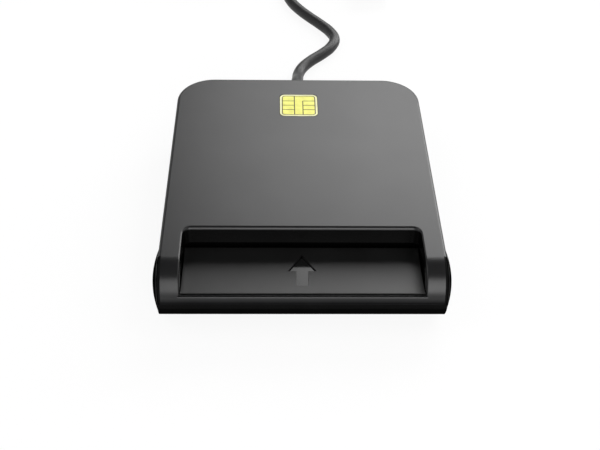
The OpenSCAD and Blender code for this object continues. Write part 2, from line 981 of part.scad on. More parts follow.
module contact_tail(x, y, side, step) {
  half = tail_width / 2;
  run_y = y - step * tail_step;
  leg_x = side * rail_half;
  over_z = frame_top_z + tail_thickness;
  span([x - half, y, blade_root_z - blade_root_radius], [x + half, y + tail_thickness, over_z]);
  span([x - half, run_y, frame_top_z], [x + half, y + tail_thickness, over_z]);
  span([min(x, leg_x), run_y, frame_top_z], [max(x, leg_x), run_y + tail_width, over_z]);
  span([min(leg_x, leg_x + side * tail_thickness), run_y, board_top_z],
    [max(leg_x, leg_x + side * tail_thickness), run_y + tail_width, over_z]);
}

module switch_housing() {
  half = switch_block_depth / 2;
  block_x = switch_pin_x + switch_block_gap;
  base_x = switch_pin_x - switch_eye_radius;
  base_z = board_top_z + switch_base;
  color([0.15, 0.15, 0.15]) {
    span([base_x, switch_pin_y - half, board_top_z],
      [block_x + switch_block_length, switch_pin_y + half, base_z]);
    span([block_x, switch_pin_y - half, board_top_z],
      [block_x + switch_block_length, switch_pin_y + half, board_top_z + switch_block_height]);
    post(switch_pin_x, switch_pin_y, board_top_z, lever_z + lever_height + switch_gap,
      switch_pin_radius);
  }
}

// Lever with an eye on the pin and a nose in the card's way
module switch_lever() {
  nose_x = switch_pin_x - switch_arm;
  half = switch_strip / 2;
  high = lever_z + lever_height;
  color([0.85, 0.85, 0.8]) difference() {
    union() {
      post(switch_pin_x, switch_pin_y, lever_z, high, switch_eye_radius);
      span([nose_x - half, switch_pin_y - half, lever_z], [switch_pin_x, switch_pin_y + half, high]);
      span([nose_x - half, stop_y - switch_reach, lever_z], [nose_x + half, switch_pin_y, high]);
    }
    post(switch_pin_x, switch_pin_y, lever_z - overrun, high + overrun,
      switch_pin_radius + switch_pin_gap);
  }
}

// Box that hangs under the board with its top face on it
module hung_box(x, y, size, gap) {
  span([x - size[0] / 2, y - size[1] / 2, board_z - gap - size[2]],
    [x + size[0] / 2, y + size[1] / 2, board_z - gap]);
}

// Square chip with a row of pins on each of its two long sides
module controller_chip() {
  body = [controller_size, controller_size, controller_height];
  color([0.08, 0.08, 0.08]) {
    hung_box(controller_x, controller_y, body, pad_thickness);
  }
  color([0.75, 0.75, 0.75]) {
    for (side = [-1, 1], pin = [0:pins_per_side - 1]) {
      y = controller_y + (pin - (pins_per_side - 1) / 2) * pin_pitch;
      x = controller_x + side * (controller_size + pin_reach) / 2;
      hung_box(x, y, [pin_reach + pin_width, pin_width, pin_height], 0);
    }
  }
}

module crystal() {
  color([0.8, 0.8, 0.82]) translate([crystal_x, crystal_y, board_z - crystal_height]) {
    linear_extrude(crystal_height) {
      square([crystal_length - crystal_width, crystal_width], center = true);
      for (side = [-1, 1]) {
        translate([side * (crystal_length - crystal_width) / 2, 0]) circle(r = crystal_width / 2);
      }
    }
  }
}

module ceramic_capacitors() {
  color([0.65, 0.5, 0.35]) for (place = [0:ceramic_count - 1]) {
    x = controller_x + (place - (ceramic_count - 1) / 2) * ceramic_pitch;
    hung_box(x, ceramic_row_y, ceramic_size, 0);
  }
}

module resistors() {
  color([0.1, 0.1, 0.12]) for (place = [0:resistor_count - 1]) {
    x = controller_x - (place - (resistor_count - 1) / 2) * resistor_pitch;
    hung_box(x, resistor_row_y, resistor_size, 0);
  }
}

module electrolytic_capacitor() {
  low = board_z - capacitor_height;
  color([0.75, 0.75, 0.77]) {
    post(capacitor_x, capacitor_y, low, board_z - capacitor_base, capacitor_radius);
  }
  color([0.1, 0.1, 0.1]) {
    hung_box(capacitor_x, capacitor_y, [capacitor_base_size, capacitor_base_size, capacitor_base], 0);
  }
}

// Lamp at the front edge of the board, beside the card lane
module status_led() {
  x = lane_half + led_gap;
  color([0.8, 0.95, 0.8]) {
    span([x, board_front_y + led_gap, board_top_z],
      [x + led_size[0], board_front_y + led_gap + led_size[1], board_top_z + led_size[2]]);
  }
}

// Socket under the board, open towards the rear wall
module board_socket() {
  color([0.9, 0.88, 0.8]) difference() {
    hung_box(0, socket_y, [socket_width, socket_length, socket_height], 0);
    translate([0, socket_wall, -socket_wall]) {
      hung_box(0, socket_y, [socket_width, socket_length, socket_height] - socket_inset, 0);
    }
  }
}

module socket_plug() {
  size = [socket_width, socket_length, socket_height] - socket_inset - crimp_slack;
  color([0.95, 0.95, 0.92]) translate([0, socket_wall + crimp_out, -socket_wall - crimp_gap]) {
    hung_box(0, socket_y, size, 0);
  }
}

// Four wires from the cut end of the jacket to the socket's plug
module inner_wires() {
  for (wire = [0:wire_count - 1]) {
    place = wire - (wire_count - 1) / 2;
    color(wire_colors[wire]) {
      tube(wire_route(place * wire_pitch, place * wire_bundle, wire % 2 == 0 ? 1 : -1),
        wire_radius, tube_sides);
    }
  }
}

function wire_route(wide, tight, lift) = [
  [tight, jacket_y, relief_z + lift * wire_bundle],
  [tight, jacket_y - wire_lead, relief_z + lift * wire_bundle],
  [(wide + tight) / 2, (jacket_y + crimp_y) / 2, (relief_z + crimp_z) / 2],
  [wide, crimp_y + wire_lead, crimp_z],
  [wide, crimp_y, crimp_z]];

// Lead

// Moulded bush in the rear wall, ribbed towards the lead
module strain_relief() {
  neck = cord_radius + relief_neck;
  flange = cord_radius + relief_flange;
  inner_y = rear_y - wall - relief_slack;
  outer_y = rear_y + relief_slack;
  color([0.08, 0.08, 0.08]) translate([0, 0, relief_z]) rotate([-90, 0, 0]) difference() {
    union() {
      translate([0, 0, inner_y - relief_inner_length]) {
        cylinder(h = relief_inner_length, r = flange);
      }
      translate([0, 0, inner_y - relief_inner_length / 2]) {
        cylinder(h = outer_y - inner_y + relief_inner_length, r = neck);
      }
      translate([0, 0, outer_y]) cylinder(h = relief_outer_length, r = flange);
      translate([0, 0, outer_y + relief_outer_length]) {
        cylinder(h = relief_boot_length, r1 = flange - relief_rib, r2 = cord_radius + relief_tip);
      }
    }
    translate([0, 0, jacket_y]) cylinder(h = body_length, r = cord_radius + bore_slack);
  }
}

// The lead's jacket inside the bush
module inner_jacket() {
  color([0.12, 0.12, 0.12]) translate([0, jacket_y, relief_z]) rotate([-90, 0, 0]) {
    cylinder(h = boot_end_y - jacket_y, r = cord_radius);
  }
}

function unit(v) = v / norm(v);
function heading(path, i) = unit(path[min(i + 1, len(path) - 1)] - path[max(i - 1, 0)]);
function sideways(way) = unit(cross(way, [0, 0, 1]));
function ring(centre, way, radius, sides) = [
  for (k = [0:sides - 1])
    centre + radius * (cos(360 * k / sides) * sideways(way)
      + sin(360 * k / sides) * cross(sideways(way), way))];

// Round tube along a path of points, as one closed skin of triangles
module tube(path, radius, sides) {
  rings = len(path);
  last = (rings - 1) * sides;
  skin = [for (i = [0:rings - 1], p = ring(path[i], heading(path, i), radius, sides)) p];
  walls = [for (i = [0:rings - 2], k = [0:sides - 1], half = [0, 1]) half == 0
    ? [i * sides + k, i * sides + (k + 1) % sides, (i + 1) * sides + (k + 1) % sides]
    : [i * sides + k, (i + 1) * sides + (k + 1) % sides, (i + 1) * sides + k]];
  first_end = [for (k = [1:sides - 2]) [0, k + 1, k]];
  last_end = [for (k = [1:sides - 2]) [last, last + k, last + k + 1]];
  polyhedron(points = skin, faces = concat(walls, first_end, last_end), convexity = 10);
}

module lead_tube() {
  color([0.14, 0.14, 0.14]) tube(lead_route, cord_radius, tube_sides);
}

module lead_tail() {
  color([0.14, 0.14, 0.14]) tube(tail_route, cord_radius, tube_sides);
}

// Coil: in on the lower layer, up in the half turn at the middle, and out again
function coil_radius(turn) = coil_outer - coil_pitch * min(turn, coil_loops - turn);
function coil_climb(turn) = max(0, min(1, (turn - coil_loops / 2) * 2 + 0.5));
function coil_point(turn) = [
  coil_centre[0] + coil_radius(turn) * cos(360 * turn),
  coil_centre[1] + coil_radius(turn) * sin(360 * turn),
  coil_rest_z + coil_layer * coil_climb(turn)];
coil_turns = [for (i = [0:coil_loops * coil_steps]) coil_point(i / coil_steps)];
coil_path = concat([coil_turns[0] - [0, coil_straight, 0]], coil_turns,
  [coil_turns[len(coil_turns) - 1] + [0, coil_straight, 0]]);
// Points at least a quarter turn apart
coil_gap = min([for (i = [0:len(coil_turns) - 1], j = [i + coil_steps / 4:len(coil_turns) - 1])
  norm(coil_turns[i] - coil_turns[j])]) - cord_diameter;
echo(str("Least gap between turns of the coil: ", coil_gap, " mm"));

module lead_coil() {
  color([0.14, 0.14, 0.14]) tube(coil_path, cord_radius, coil_sides);
}

// Strap across the coil's far side, where the runs of both layers lie in line
module lead_tie() {
  outer_run = coil_radius(1 / 2);
  inner_run = coil_radius(coil_loops / 2 - 1 / 2);
  width = outer_run - inner_run + 2 * (cord_radius + tie_side_gap);
  height = coil_layer + 2 * (cord_radius + tie_gap);
  x = coil_centre[0] - (outer_run + inner_run) / 2;
  z = coil_rest_z + coil_layer / 2;
  color([0.1, 0.1, 0.1]) translate([x, coil_centre[1] + tie_width / 2, z]) rotate([90, 0, 0]) {
    linear_extrude(tie_width) difference() {
      round_rectangle(width + 2 * tie_thickness, height + 2 * tie_thickness,
        cord_radius + tie_thickness);
      round_rectangle(width, height, cord_radius);
    }
  }
}

// Plug

// Moulded grip with its bend relief, open in front for the metal shell
module usb_grip() {
  color([0.1, 0.1, 0.1]) difference() {
    union() {
      translate([plug_x, plug_grip_y, plug_z]) rotate([90, 0, 0]) {
        linear_extrude(plug_length) round_rectangle(plug_width, plug_height, plug_corner);
      }
      translate([plug_x, plug_grip_y, plug_z]) rotate([-90, 0, 0]) {
        cylinder(h = plug_boot_length, r1 = plug_boot_radius, r2 = cord_radius + plug_boot_tip);
      }
    }
    usb_box(usb_width + 2 * usb_gap, usb_height + 2 * usb_gap, plug_face_y - overrun,
      plug_face_y + usb_in + usb_gap);
  }
}

// Box on the plug's axis
module usb_box(width, height, low, high) {
  span([plug_x - width / 2, low, plug_z - height / 2], [plug_x + width / 2, high, plug_z + height / 2]);
}

module usb_shell() {
  color([0.78, 0.78, 0.8]) difference() {
    usb_box(usb_width, usb_height, plug_face_y - usb_out, plug_face_y + usb_in);
    usb_box(usb_width - 2 * usb_wall, usb_height - 2 * usb_wall, plug_face_y - usb_out - overrun,
      plug_face_y + usb_in + overrun);
    for (side = [-1, 1]) {
      x = plug_x + side * usb_window_x;
      y = plug_face_y - usb_window_y;
      span([x - usb_window[0] / 2, y - usb_window[1] / 2, 0],
        [x + usb_window[0] / 2, y + usb_window[1] / 2, plug_height]);
    }
  }
}

// Insulator: a block at the back and a tongue on the shell's lower side
module usb_tongue() {
  width = usb_width - 2 * usb_wall - 2 * tongue_side_gap;
  height = usb_height - 2 * usb_wall - 2 * tongue_side_gap;
  rear = plug_face_y + usb_in - tongue_side_gap;
  color([0.9, 0.9, 0.9]) {
    usb_box(width, height, rear - tongue_base, rear);
    span([plug_x - width / 2, plug_face_y - usb_out + tongue_set_back, plug_z - height / 2],
      [plug_x + width / 2, rear, plug_z - height / 2 + tongue_thickness]);
  }
}

// Four gold strips on the tongue
module usb_contacts() {
  height = usb_height - 2 * usb_wall - 2 * tongue_side_gap;
  low = plug_z - height / 2 + tongue_thickness;
  front = plug_face_y - usb_out + tongue_set_back + usb_pin_back;
  color([0.9, 0.76, 0.36]) for (share = usb_pin_xs_share) {
    x = plug_x + share * usb_width;
    span([x - usb_pin_width / 2, front, low],
      [x + usb_pin_width / 2, front + usb_pin_length, low + usb_pin_thickness]);
  }
}

// Every piece, or the one that is asked for
top_cover();
bottom_cover();
card_tray();
end_cap_left();
end_cap_right();
chip_emblem();
foot_front_left();
foot_front_right();
foot_rear_left();
foot_rear_right();
rating_label();
front_screws();
rear_screws();
board_screws();
circuit_board();
connector_frame();
contact_c1();
contact_c2();
contact_c3();
contact_c4();
contact_c5();
contact_c6();
contact_c7();
contact_c8();
contact_tails();
switch_housing();
switch_lever();
controller_chip();
crystal();
ceramic_capacitors();
resistors();
electrolytic_capacitor();
status_led();
board_socket();
socket_plug();
inner_wires();
strain_relief();
inner_jacket();
lead_tube();
lead_coil();
lead_tie();
lead_tail();
usb_grip();
usb_shell();
usb_tongue();
usb_contacts();
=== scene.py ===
import math

import bmesh
import bpy
from mathutils import Matrix, Vector
from mathutils.geometry import tessellate_polygon


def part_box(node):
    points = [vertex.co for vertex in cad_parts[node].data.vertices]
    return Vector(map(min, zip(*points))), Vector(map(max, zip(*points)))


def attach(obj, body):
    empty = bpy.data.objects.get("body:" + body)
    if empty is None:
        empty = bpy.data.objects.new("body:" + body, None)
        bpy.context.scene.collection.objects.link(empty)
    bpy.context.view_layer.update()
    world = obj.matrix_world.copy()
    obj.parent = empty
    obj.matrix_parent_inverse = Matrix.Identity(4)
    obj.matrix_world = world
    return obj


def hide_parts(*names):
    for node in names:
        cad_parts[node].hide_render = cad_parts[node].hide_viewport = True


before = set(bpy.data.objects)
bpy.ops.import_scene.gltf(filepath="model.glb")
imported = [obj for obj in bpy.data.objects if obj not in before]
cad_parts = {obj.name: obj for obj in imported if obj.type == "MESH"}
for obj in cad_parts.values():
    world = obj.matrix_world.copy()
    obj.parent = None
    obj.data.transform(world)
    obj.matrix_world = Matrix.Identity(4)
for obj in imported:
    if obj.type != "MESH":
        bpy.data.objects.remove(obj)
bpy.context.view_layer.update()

# Every piece is modelled in millimetres and brought to metres at the end.
mm = 0.001
xAxis, yAxis, zAxis = Vector((1, 0, 0)), Vector((0, 1, 0)), Vector((0, 0, 1))


def boxOf(node):
    low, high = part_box(node)
    return Vector(low) / mm, Vector(high) / mm


# Measures that several pieces share, read off the frame

topLow, topHigh = boxOf("top_cover")
baseLow, baseHigh = boxOf("bottom_cover")
trayLow, trayHigh = boxOf("card_tray")
emblemLow, emblemHigh = boxOf("chip_emblem")
reliefLow, reliefHigh = boxOf("strain_relief")
gripLow, gripHigh = boxOf("usb_grip")

halfWidth = topHigh.x
frontY, rearY = topLow.y, topHigh.y
topZ, underZ = topHigh.z, baseLow.z
rollRadius = (topZ - underZ) / 2
rollY, rollZ = frontY + rollRadius, underZ + rollRadius


# Camera: where the photograph was taken from, in millimetres and degrees

cameraSet = {"lens": 60.97, "sensor": 36.0, "pitch": 41.641, "yaw": 1.985, "roll": -1.479,
             "place": (-6.76, -202.53, 177.35)}


def makeCamera():
    pitch, yaw, roll = (math.radians(cameraSet[k]) for k in ("pitch", "yaw", "roll"))
    look = Vector((math.sin(yaw) * math.cos(pitch), math.cos(yaw) * math.cos(pitch), -math.sin(pitch)))
    level = Vector((math.cos(yaw), -math.sin(yaw), 0))
    drop = look.cross(level)
    right = math.cos(roll) * level + math.sin(roll) * drop
    down = math.cos(roll) * drop - math.sin(roll) * level
    lens = bpy.data.cameras.new("camera")
    lens.lens, lens.sensor_width, lens.clip_start = cameraSet["lens"], cameraSet["sensor"], 0.01
    made = bpy.data.objects.new("camera", lens)
    bpy.context.scene.collection.objects.link(made)
    turn = Matrix((right, -down, -look)).transposed().to_4x4()
    made.matrix_world = Matrix.Translation(Vector(cameraSet["place"]) * mm) @ turn
    bpy.context.scene.camera = made


makeCamera()
print("camera made")

# Lead: one line from inside the strain relief, over the desk, round the coil and into the plug

lead = {
    "diameter": 3.5,
    "inside": [(0, 34.3, 6.2), (0, 41.5, 6.2)],
    "desk": [(0, 48.1, 6.2), (0, 52, 6.2), (0.2, 57, 4.8), (0.5, 61.5, 2.8), (0.8, 65.3, 1.9),
             (2, 69, 1.75), (4.8, 73.2, 1.75), (8.6, 77.4, 1.75), (11.6, 81.6, 1.75), (13, 86.4, 1.75),
             (11.8, 90.8, 1.75), (8.8, 95.6, 1.75), (5, 100.7, 1.75), (1.6, 105.8, 1.75),
             (-0.9, 110.8, 1.75), (-2.4, 116.5, 1.75), (-3, 123, 1.75), (-2.4, 130, 1.75),
             (-1, 137, 1.85), (0, 142.5, 2), (0, 146.5, 2)],
    "tail": [(0, 153.5, 6.05), (0, 157, 6.05), (0.9, 162.5, 5), (3.2, 168, 3), (7.5, 172.6, 1.9),
             (13.5, 175, 1.75), (19.5, 174, 1.9), (24.3, 170.2, 2.8), (26.7, 165.6, 3.8),
             (27, 162, 4), (27, 158.5, 4), (27, 154.5, 4)],
    "loops": 6, "coilOuter": 27.0, "coilPitch": 4.1, "coilLayer": 4.05, "coilCentre": (-27, 150),
    "coilRest": 2.0, "coilSteps": 24, "smooth": 4, "roundness": 8,
}


def coilPoint(turn):
    loops = lead["loops"]
    radius = lead["coilOuter"] - lead["coilPitch"] * min(turn, loops - turn)
    climb = max(0, min(1, (turn - loops / 2) * 2 + 0.5))
    angle = 2 * math.pi * turn
    x, y = lead["coilCentre"]
    return (x + radius * math.cos(angle), y + radius * math.sin(angle),
            lead["coilRest"] + lead["coilLayer"] * climb)


def makeLead():
    steps = lead["coilSteps"]
    coil = [coilPoint(i / steps) for i in range(lead["loops"] * steps + 1)]
    route = lead["inside"] + lead["desk"] + coil + lead["tail"]
    curve = bpy.data.curves.new("lead", "CURVE")
    curve.dimensions = "3D"
    curve.resolution_u = lead["smooth"]
    curve.bevel_depth = lead["diameter"] / 2 * mm
    curve.bevel_resolution = lead["roundness"]
    curve.use_fill_caps = True
    spline = curve.splines.new("BEZIER")
    spline.bezier_points.add(len(route) - 1)
    for point, place in zip(spline.bezier_points, route):
        point.co = Vector(place) * mm
        point.handle_left_type = point.handle_right_type = "AUTO"
    made = bpy.data.objects.new("lead", curve)
    bpy.context.scene.collection.objects.link(made)
    return made


leadPiece = makeLead()
print("lead laid")

# Finishes. Pattern sizes and depths are in millimetres

def finish(name, colour, roughness, **sockets):
    made = bpy.data.materials.new(name)
    made.use_nodes = True
    shader = made.node_tree.nodes["Principled BSDF"]
    shader.inputs["Base Color"].default_value = (*colour, 1)
    shader.inputs["Roughness"].default_value = roughness
    for socket, value in sockets.items():
        shader.inputs[socket.replace("_", " ")].default_value = value
    made.diffuse_color = (*colour, 1)
    return made


def patternNode(made, kind, size, detail=2.0, stretch=(1, 1, 1)):
    # A noise of about that grain size on Object coordinates, stretched along the given axes
    tree = made.node_tree
    place = tree.nodes.new("ShaderNodeTexCoord")
    mapping = tree.nodes.new("ShaderNodeMapping")
    mapping.inputs["Scale"].default_value = [1 / (size * mm * s) for s in stretch]
    tree.links.new(place.outputs["Object"], mapping.inputs["Vector"])
    noise = tree.nodes.new(kind)
    noise.inputs["Scale"].default_value = 1
    if "Detail" in noise.inputs:
        noise.inputs["Detail"].default_value = detail
    tree.links.new(mapping.outputs["Vector"], noise.inputs["Vector"])
    return noise.outputs[0]


def spreadNode(made, value, low, high, start=0.3, end=0.7):
    node = made.node_tree.nodes.new("ShaderNodeMapRange")
    for socket, number in zip(("From Min", "From Max", "To Min", "To Max"), (start, end, low, high)):
        node.inputs[socket].default_value = number
    made.node_tree.links.new(value, node.inputs["Value"])
    return node.outputs["Result"]


def tint(made, value, dark, light, start=0.3, end=0.7):
    ramp = made.node_tree.nodes.new("ShaderNodeValToRGB")
    for point, place, colour in zip(ramp.color_ramp.elements, (start, end), (dark, light)):
        point.position, point.color = place, (*colour, 1)
    made.node_tree.links.new(value, ramp.inputs["Fac"])
    made.node_tree.links.new(ramp.outputs["Color"],
                             made.node_tree.nodes["Principled BSDF"].inputs["Base Color"])


def roughen(made, value, low, high):
    shader = made.node_tree.nodes["Principled BSDF"]
    made.node_tree.links.new(spreadNode(made, value, low, high), shader.inputs["Roughness"])


def emboss(made, depth, *values, strength=1.0):
    # Bump from one pattern, or from several one after the other, finest last
    tree, last = made.node_tree, None
    for value in values:
        bump = tree.nodes.new("ShaderNodeBump")
        bump.inputs["Distance"].default_value = depth * mm
        bump.inputs["Strength"].default_value = strength
        tree.links.new(value, bump.inputs["Height"])
        if last is not None:
            tree.links.new(last, bump.inputs["Normal"])
        last = bump.outputs["Normal"]
    tree.links.new(last, tree.nodes["Principled BSDF"].inputs["Normal"])


def moulded(name, dark, light, roughness, grain=0.12, depth=0.0015, spread=0.01, **sockets):
    # Moulded plastic: eroded grain, a broad drift of tone and slightly uneven gloss
    made = finish(name, light, roughness, **sockets)
    tint(made, patternNode(made, "ShaderNodeTexNoise", 9.0, 3), dark, light)
    drift = patternNode(made, "ShaderNodeTexNoise", 14.0, 3)
    roughen(made, drift, roughness - spread, roughness + spread)
    emboss(made, depth, patternNode(made, "ShaderNodeTexNoise", grain, 2))
    return made


def polished(name, dark, light, roughness, swell=6.0, depth=0.003, **sockets):
    # Polished plastic: a faint swell of the surface and fine handling marks in its gloss
    made = finish(name, light, roughness, **sockets)
    tint(made, patternNode(made, "ShaderNodeTexNoise", 12.0, 2), dark, light)
    marks = patternNode(made, "ShaderNodeTexNoise", 1.2, 6, stretch=(1, 6, 1))
    roughen(made, marks, roughness * 0.8, roughness * 1.3)
    emboss(made, depth, patternNode(made, "ShaderNodeTexNoise", swell, 1))
    return made


def metal(name, dark, light, roughness, brush=0.05, stretch=(1, 20, 1), depth=0.001, **sockets):
    made = finish(name, light, roughness, Metallic=1.0, **sockets)
    tint(made, patternNode(made, "ShaderNodeTexNoise", 2.5, 4), dark, light)
    lines = patternNode(made, "ShaderNodeTexNoise", brush, 2, stretch=stretch)
    roughen(made, lines, roughness * 0.8, roughness * 1.25)
    emboss(made, depth, lines)
    return made


def easeGlare(made, level, start, end, paintedJointShade=None):
    # Moulded black plastic loses its gloss where it is seen edge on; start and end are facing shares. Given two
    # heights in millimetres, it also dulls between them, down towards the joint: painted shade, a darker band low on
    # the roll that stands in for a dark reflection there
    tree = made.node_tree
    facing = tree.nodes.new("ShaderNodeLayerWeight")
    value = spreadNode(made, facing.outputs["Facing"], level, 0, start, end)
    if paintedJointShade:
        place = tree.nodes.new("ShaderNodeTexCoord")
        split = tree.nodes.new("ShaderNodeSeparateXYZ")
        both = tree.nodes.new("ShaderNodeMath")
        both.operation = "MULTIPLY"
        tree.links.new(place.outputs["Object"], split.inputs[0])
        tree.links.new(value, both.inputs[0])
        tree.links.new(spreadNode(made, split.outputs["Z"], 0.05, 1, *(z * mm for z in paintedJointShade)), both.inputs[1])
        value = both.outputs[0]
    tree.links.new(value, tree.nodes["Principled BSDF"].inputs["Specular IOR Level"])


satinBlackAndJointShade = moulded("satin_black_and_joint_shade", (0.0035, 0.0035, 0.0038), (0.0055, 0.0055, 0.0058), 0.32)
# painted shade: the top cover's gloss fades out between 9.2 and 10.4 mm, darkening the roll low down towards the joint
easeGlare(satinBlackAndJointShade, 0.34, 0.4, 0.8, paintedJointShade=(9.2, 10.4))
# The bottom cover's own matt black; on the roll's ends by the caps it is also used as painted shade for a dark gap
baseBlackAndCapGapShade = moulded("matt_black_and_cap_gap_shade", (0.0015, 0.0015, 0.0015), (0.0024, 0.0024, 0.0024), 0.5)
easeGlare(baseBlackAndCapGapShade, 0.04, 0.2, 0.5)
wallBlack = polished("polished_black", (0.0012, 0.0012, 0.0012), (0.002, 0.002, 0.002), 0.1,
                     Specular_IOR_Level=0.2)
trayBlack = moulded("tray_black", (0.004, 0.004, 0.004), (0.006, 0.006, 0.006), 0.34,
                    grain=0.3, depth=0.001)
easeGlare(trayBlack, 0.215, 0.4, 0.8)
arrowBlack = polished("arrow_black", (0.003, 0.003, 0.003), (0.0045, 0.0045, 0.0045), 0.08,
                      Specular_IOR_Level=0.185)
capBlack = polished("gloss_black", (0.0015, 0.0015, 0.0015), (0.0025, 0.0025, 0.0025), 0.07)
easeGlare(capBlack, 0.36, 0.4, 0.7)
goldInk = finish("gold_fields", (0.66, 0.64, 0.1), 0.4, Specular_IOR_Level=0.35)
paleGold = finish("pale_rim", (0.68, 0.67, 0.36), 0.42, Specular_IOR_Level=0.35)
darkInk = finish("dark_lines", (0.12, 0.11, 0.02), 0.5, Specular_IOR_Level=0.35)
rubber = moulded("foot_rubber", (0.012, 0.012, 0.012), (0.025, 0.025, 0.024), 0.8,
                 grain=0.3, depth=0.01, Specular_IOR_Level=0.25)
labelPaper = finish("blank_label", (0.6, 0.6, 0.58), 0.5)
steel = metal("zinc_steel", (0.42, 0.42, 0.43), (0.6, 0.6, 0.61), 0.28, brush=0.3, stretch=(1, 1, 6),
              depth=0.0003)
leadSkin = moulded("lead_pvc", (0.007, 0.007, 0.0074), (0.011, 0.011, 0.0114), 0.42,
                   grain=0.6, depth=0.003, Specular_IOR_Level=0.27)
gripSkin = moulded("grip_pvc", (0.01, 0.01, 0.0105), (0.016, 0.016, 0.0165), 0.5, grain=0.2, depth=0.003)
strapCloth = finish("strap_fabric", (0.02, 0.02, 0.022), 0.9, Sheen_Weight=0.3)
nickel = metal("shell_nickel", (0.55, 0.54, 0.52), (0.72, 0.71, 0.69), 0.2)
tongueWhite = moulded("tongue_white", (0.62, 0.62, 0.6), (0.72, 0.72, 0.7), 0.4)


def weave(made, size, depth):
    # Hook tape: short loops in rows across the strap
    value = patternNode(made, "ShaderNodeTexVoronoi", size, 0, stretch=(1.6, 0.8, 1))
    tint(made, value, (0.012, 0.012, 0.014), (0.035, 0.035, 0.038), 0.2, 0.8)
    emboss(made, depth, value)


weave(strapCloth, 0.35, 0.08)
for ink, dark, light in ((goldInk, (0.58, 0.56, 0.085), (0.7, 0.68, 0.12)),
                         (paleGold, (0.58, 0.57, 0.3), (0.72, 0.71, 0.4)),
                         (darkInk, (0.03, 0.027, 0.004), (0.06, 0.055, 0.009))):
    tint(ink, patternNode(ink, "ShaderNodeTexNoise", 2.0, 3), dark, light)
    emboss(ink, 0.002, patternNode(ink, "ShaderNodeTexNoise", 0.15, 2))
    easeGlare(ink, 0.35, 0.4, 0.75)
tint(labelPaper, patternNode(labelPaper, "ShaderNodeTexNoise", 0.4, 5), (0.55, 0.55, 0.53), (0.63, 0.63, 0.61))
emboss(labelPaper, 0.004, patternNode(labelPaper, "ShaderNodeTexNoise", 0.25, 4))
print("finishes made")

# Mesh helpers

def bridge(bm, rowA, rowB):
    # Quads between two rows of points
    a = [bm.verts.new(p) for p in rowA]
    b = [bm.verts.new(p) for p in rowB]
    for i in range(len(a) - 1):
        bm.faces.new((a[i], a[i + 1], b[i + 1], b[i]))


def bridgeAll(bm, rows):
    for rowA, rowB in zip(rows, rows[1:]):
        bridge(bm, rowA, rowB)


def fill(bm, *loops):
    # A flat face; every loop after the first is a hole
    if len(loops) == 1:
        bm.faces.new([bm.verts.new(p) for p in loops[0]])
        return
    points = [bm.verts.new(p) for loop in loops for p in loop]
    for corners in tessellate_polygon(loops):
        bm.faces.new([points[i] for i in corners])


def filletPoint(corner, across, down, radius, share):
    # share 0 lies on the face along across, share 1 on the face along down
    angle = share * math.pi / 2
    centre = corner + radius * (across + down)
    return centre - radius * (math.sin(angle) * across + math.cos(angle) * down)


def filletRow(corner, across, down, radius, steps):
    return [filletPoint(corner, across, down, radius, i / steps) for i in range(steps + 1)]


def weld(bm, dist=1e-4):
    bmesh.ops.remove_doubles(bm, verts=bm.verts, dist=dist)
    bmesh.ops.recalc_face_normals(bm, faces=bm.faces)


def looseObject(name, bm):
    mesh = bpy.data.meshes.new(name)
    bm.to_mesh(mesh)
    bm.free()
    made = bpy.data.objects.new(name, mesh)
    bpy.context.scene.collection.objects.link(made)
    return made


def baked(obj):
    # The object with its modifiers applied
    graph = bpy.context.evaluated_depsgraph_get()
    mesh = bpy.data.meshes.new_from_object(obj.evaluated_get(graph), depsgraph=graph)
    obj.modifiers.clear()
    obj.data = mesh
    return obj


def carve(obj, *cutters):
    for cutter in cutters:
        cut = obj.modifiers.new("cut", "BOOLEAN")
        cut.operation = "DIFFERENCE"
        cut.solver = "EXACT"
        cut.object = cutter
        baked(obj)
        bpy.data.objects.remove(cutter)
    return obj


def softenEdges(obj, width, angle=40, segments=2):
    bevel = obj.modifiers.new("edges", "BEVEL")
    bevel.width = width
    bevel.segments = segments
    bevel.limit_method = "ANGLE"
    bevel.angle_limit = math.radians(angle)
    bevel.use_clamp_overlap = True
    return baked(obj)


def shade(obj, angle=35):
    # Smooth faces, sharp edges past the angle, and flat faces kept flat
    bm = bmesh.new()
    bm.from_mesh(obj.data)
    for face in bm.faces:
        face.smooth = True
    for edge in bm.edges:
        edge.smooth = len(edge.link_faces) != 2 or edge.calc_face_angle() < math.radians(angle)
    bm.to_mesh(obj.data)
    bm.free()
    weighted = obj.modifiers.new("flats", "WEIGHTED_NORMAL")
    weighted.keep_sharp = True
    return baked(obj)


def tube(bm, x, y, low, high, radius, hole=0.0, steps=32):
    # Upright round post, with a hole through it if one is given
    def circle(r, z):
        turn = [2 * math.pi * i / steps for i in range(steps + 1)]
        return [Vector((x + r * math.cos(a), y + r * math.sin(a), z)) for a in turn]
    rows = [circle(radius, low), circle(radius, high)]
    if hole:
        rows += [circle(hole, high), circle(hole, low), circle(radius, low)]
        bridgeAll(bm, rows)
    else:
        bridgeAll(bm, rows)
        fill(bm, rows[0][:-1])
        fill(bm, rows[1][:-1])


def block(bm, low, high):
    made = bmesh.ops.create_cube(bm, size=1)["verts"]
    size, middle = Vector(high) - Vector(low), (Vector(high) + Vector(low)) / 2
    bmesh.ops.scale(bm, vec=size, verts=made)
    bmesh.ops.translate(bm, vec=middle, verts=made)


def mirrored(points):
    return [Vector((-p.x, p.y, p.z)) for p in points]


def finishPiece(obj, material, body="reader", nodes=()):
    # To metres, with its finish, its body and the CAD pieces that it stands for
    obj.data.transform(Matrix.Scale(mm, 4))
    if material is not None:
        obj.data.materials.clear()
        obj.data.materials.append(material)
    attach(obj, body)
    if nodes:
        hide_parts(*nodes)
    return obj


# Case: top cover

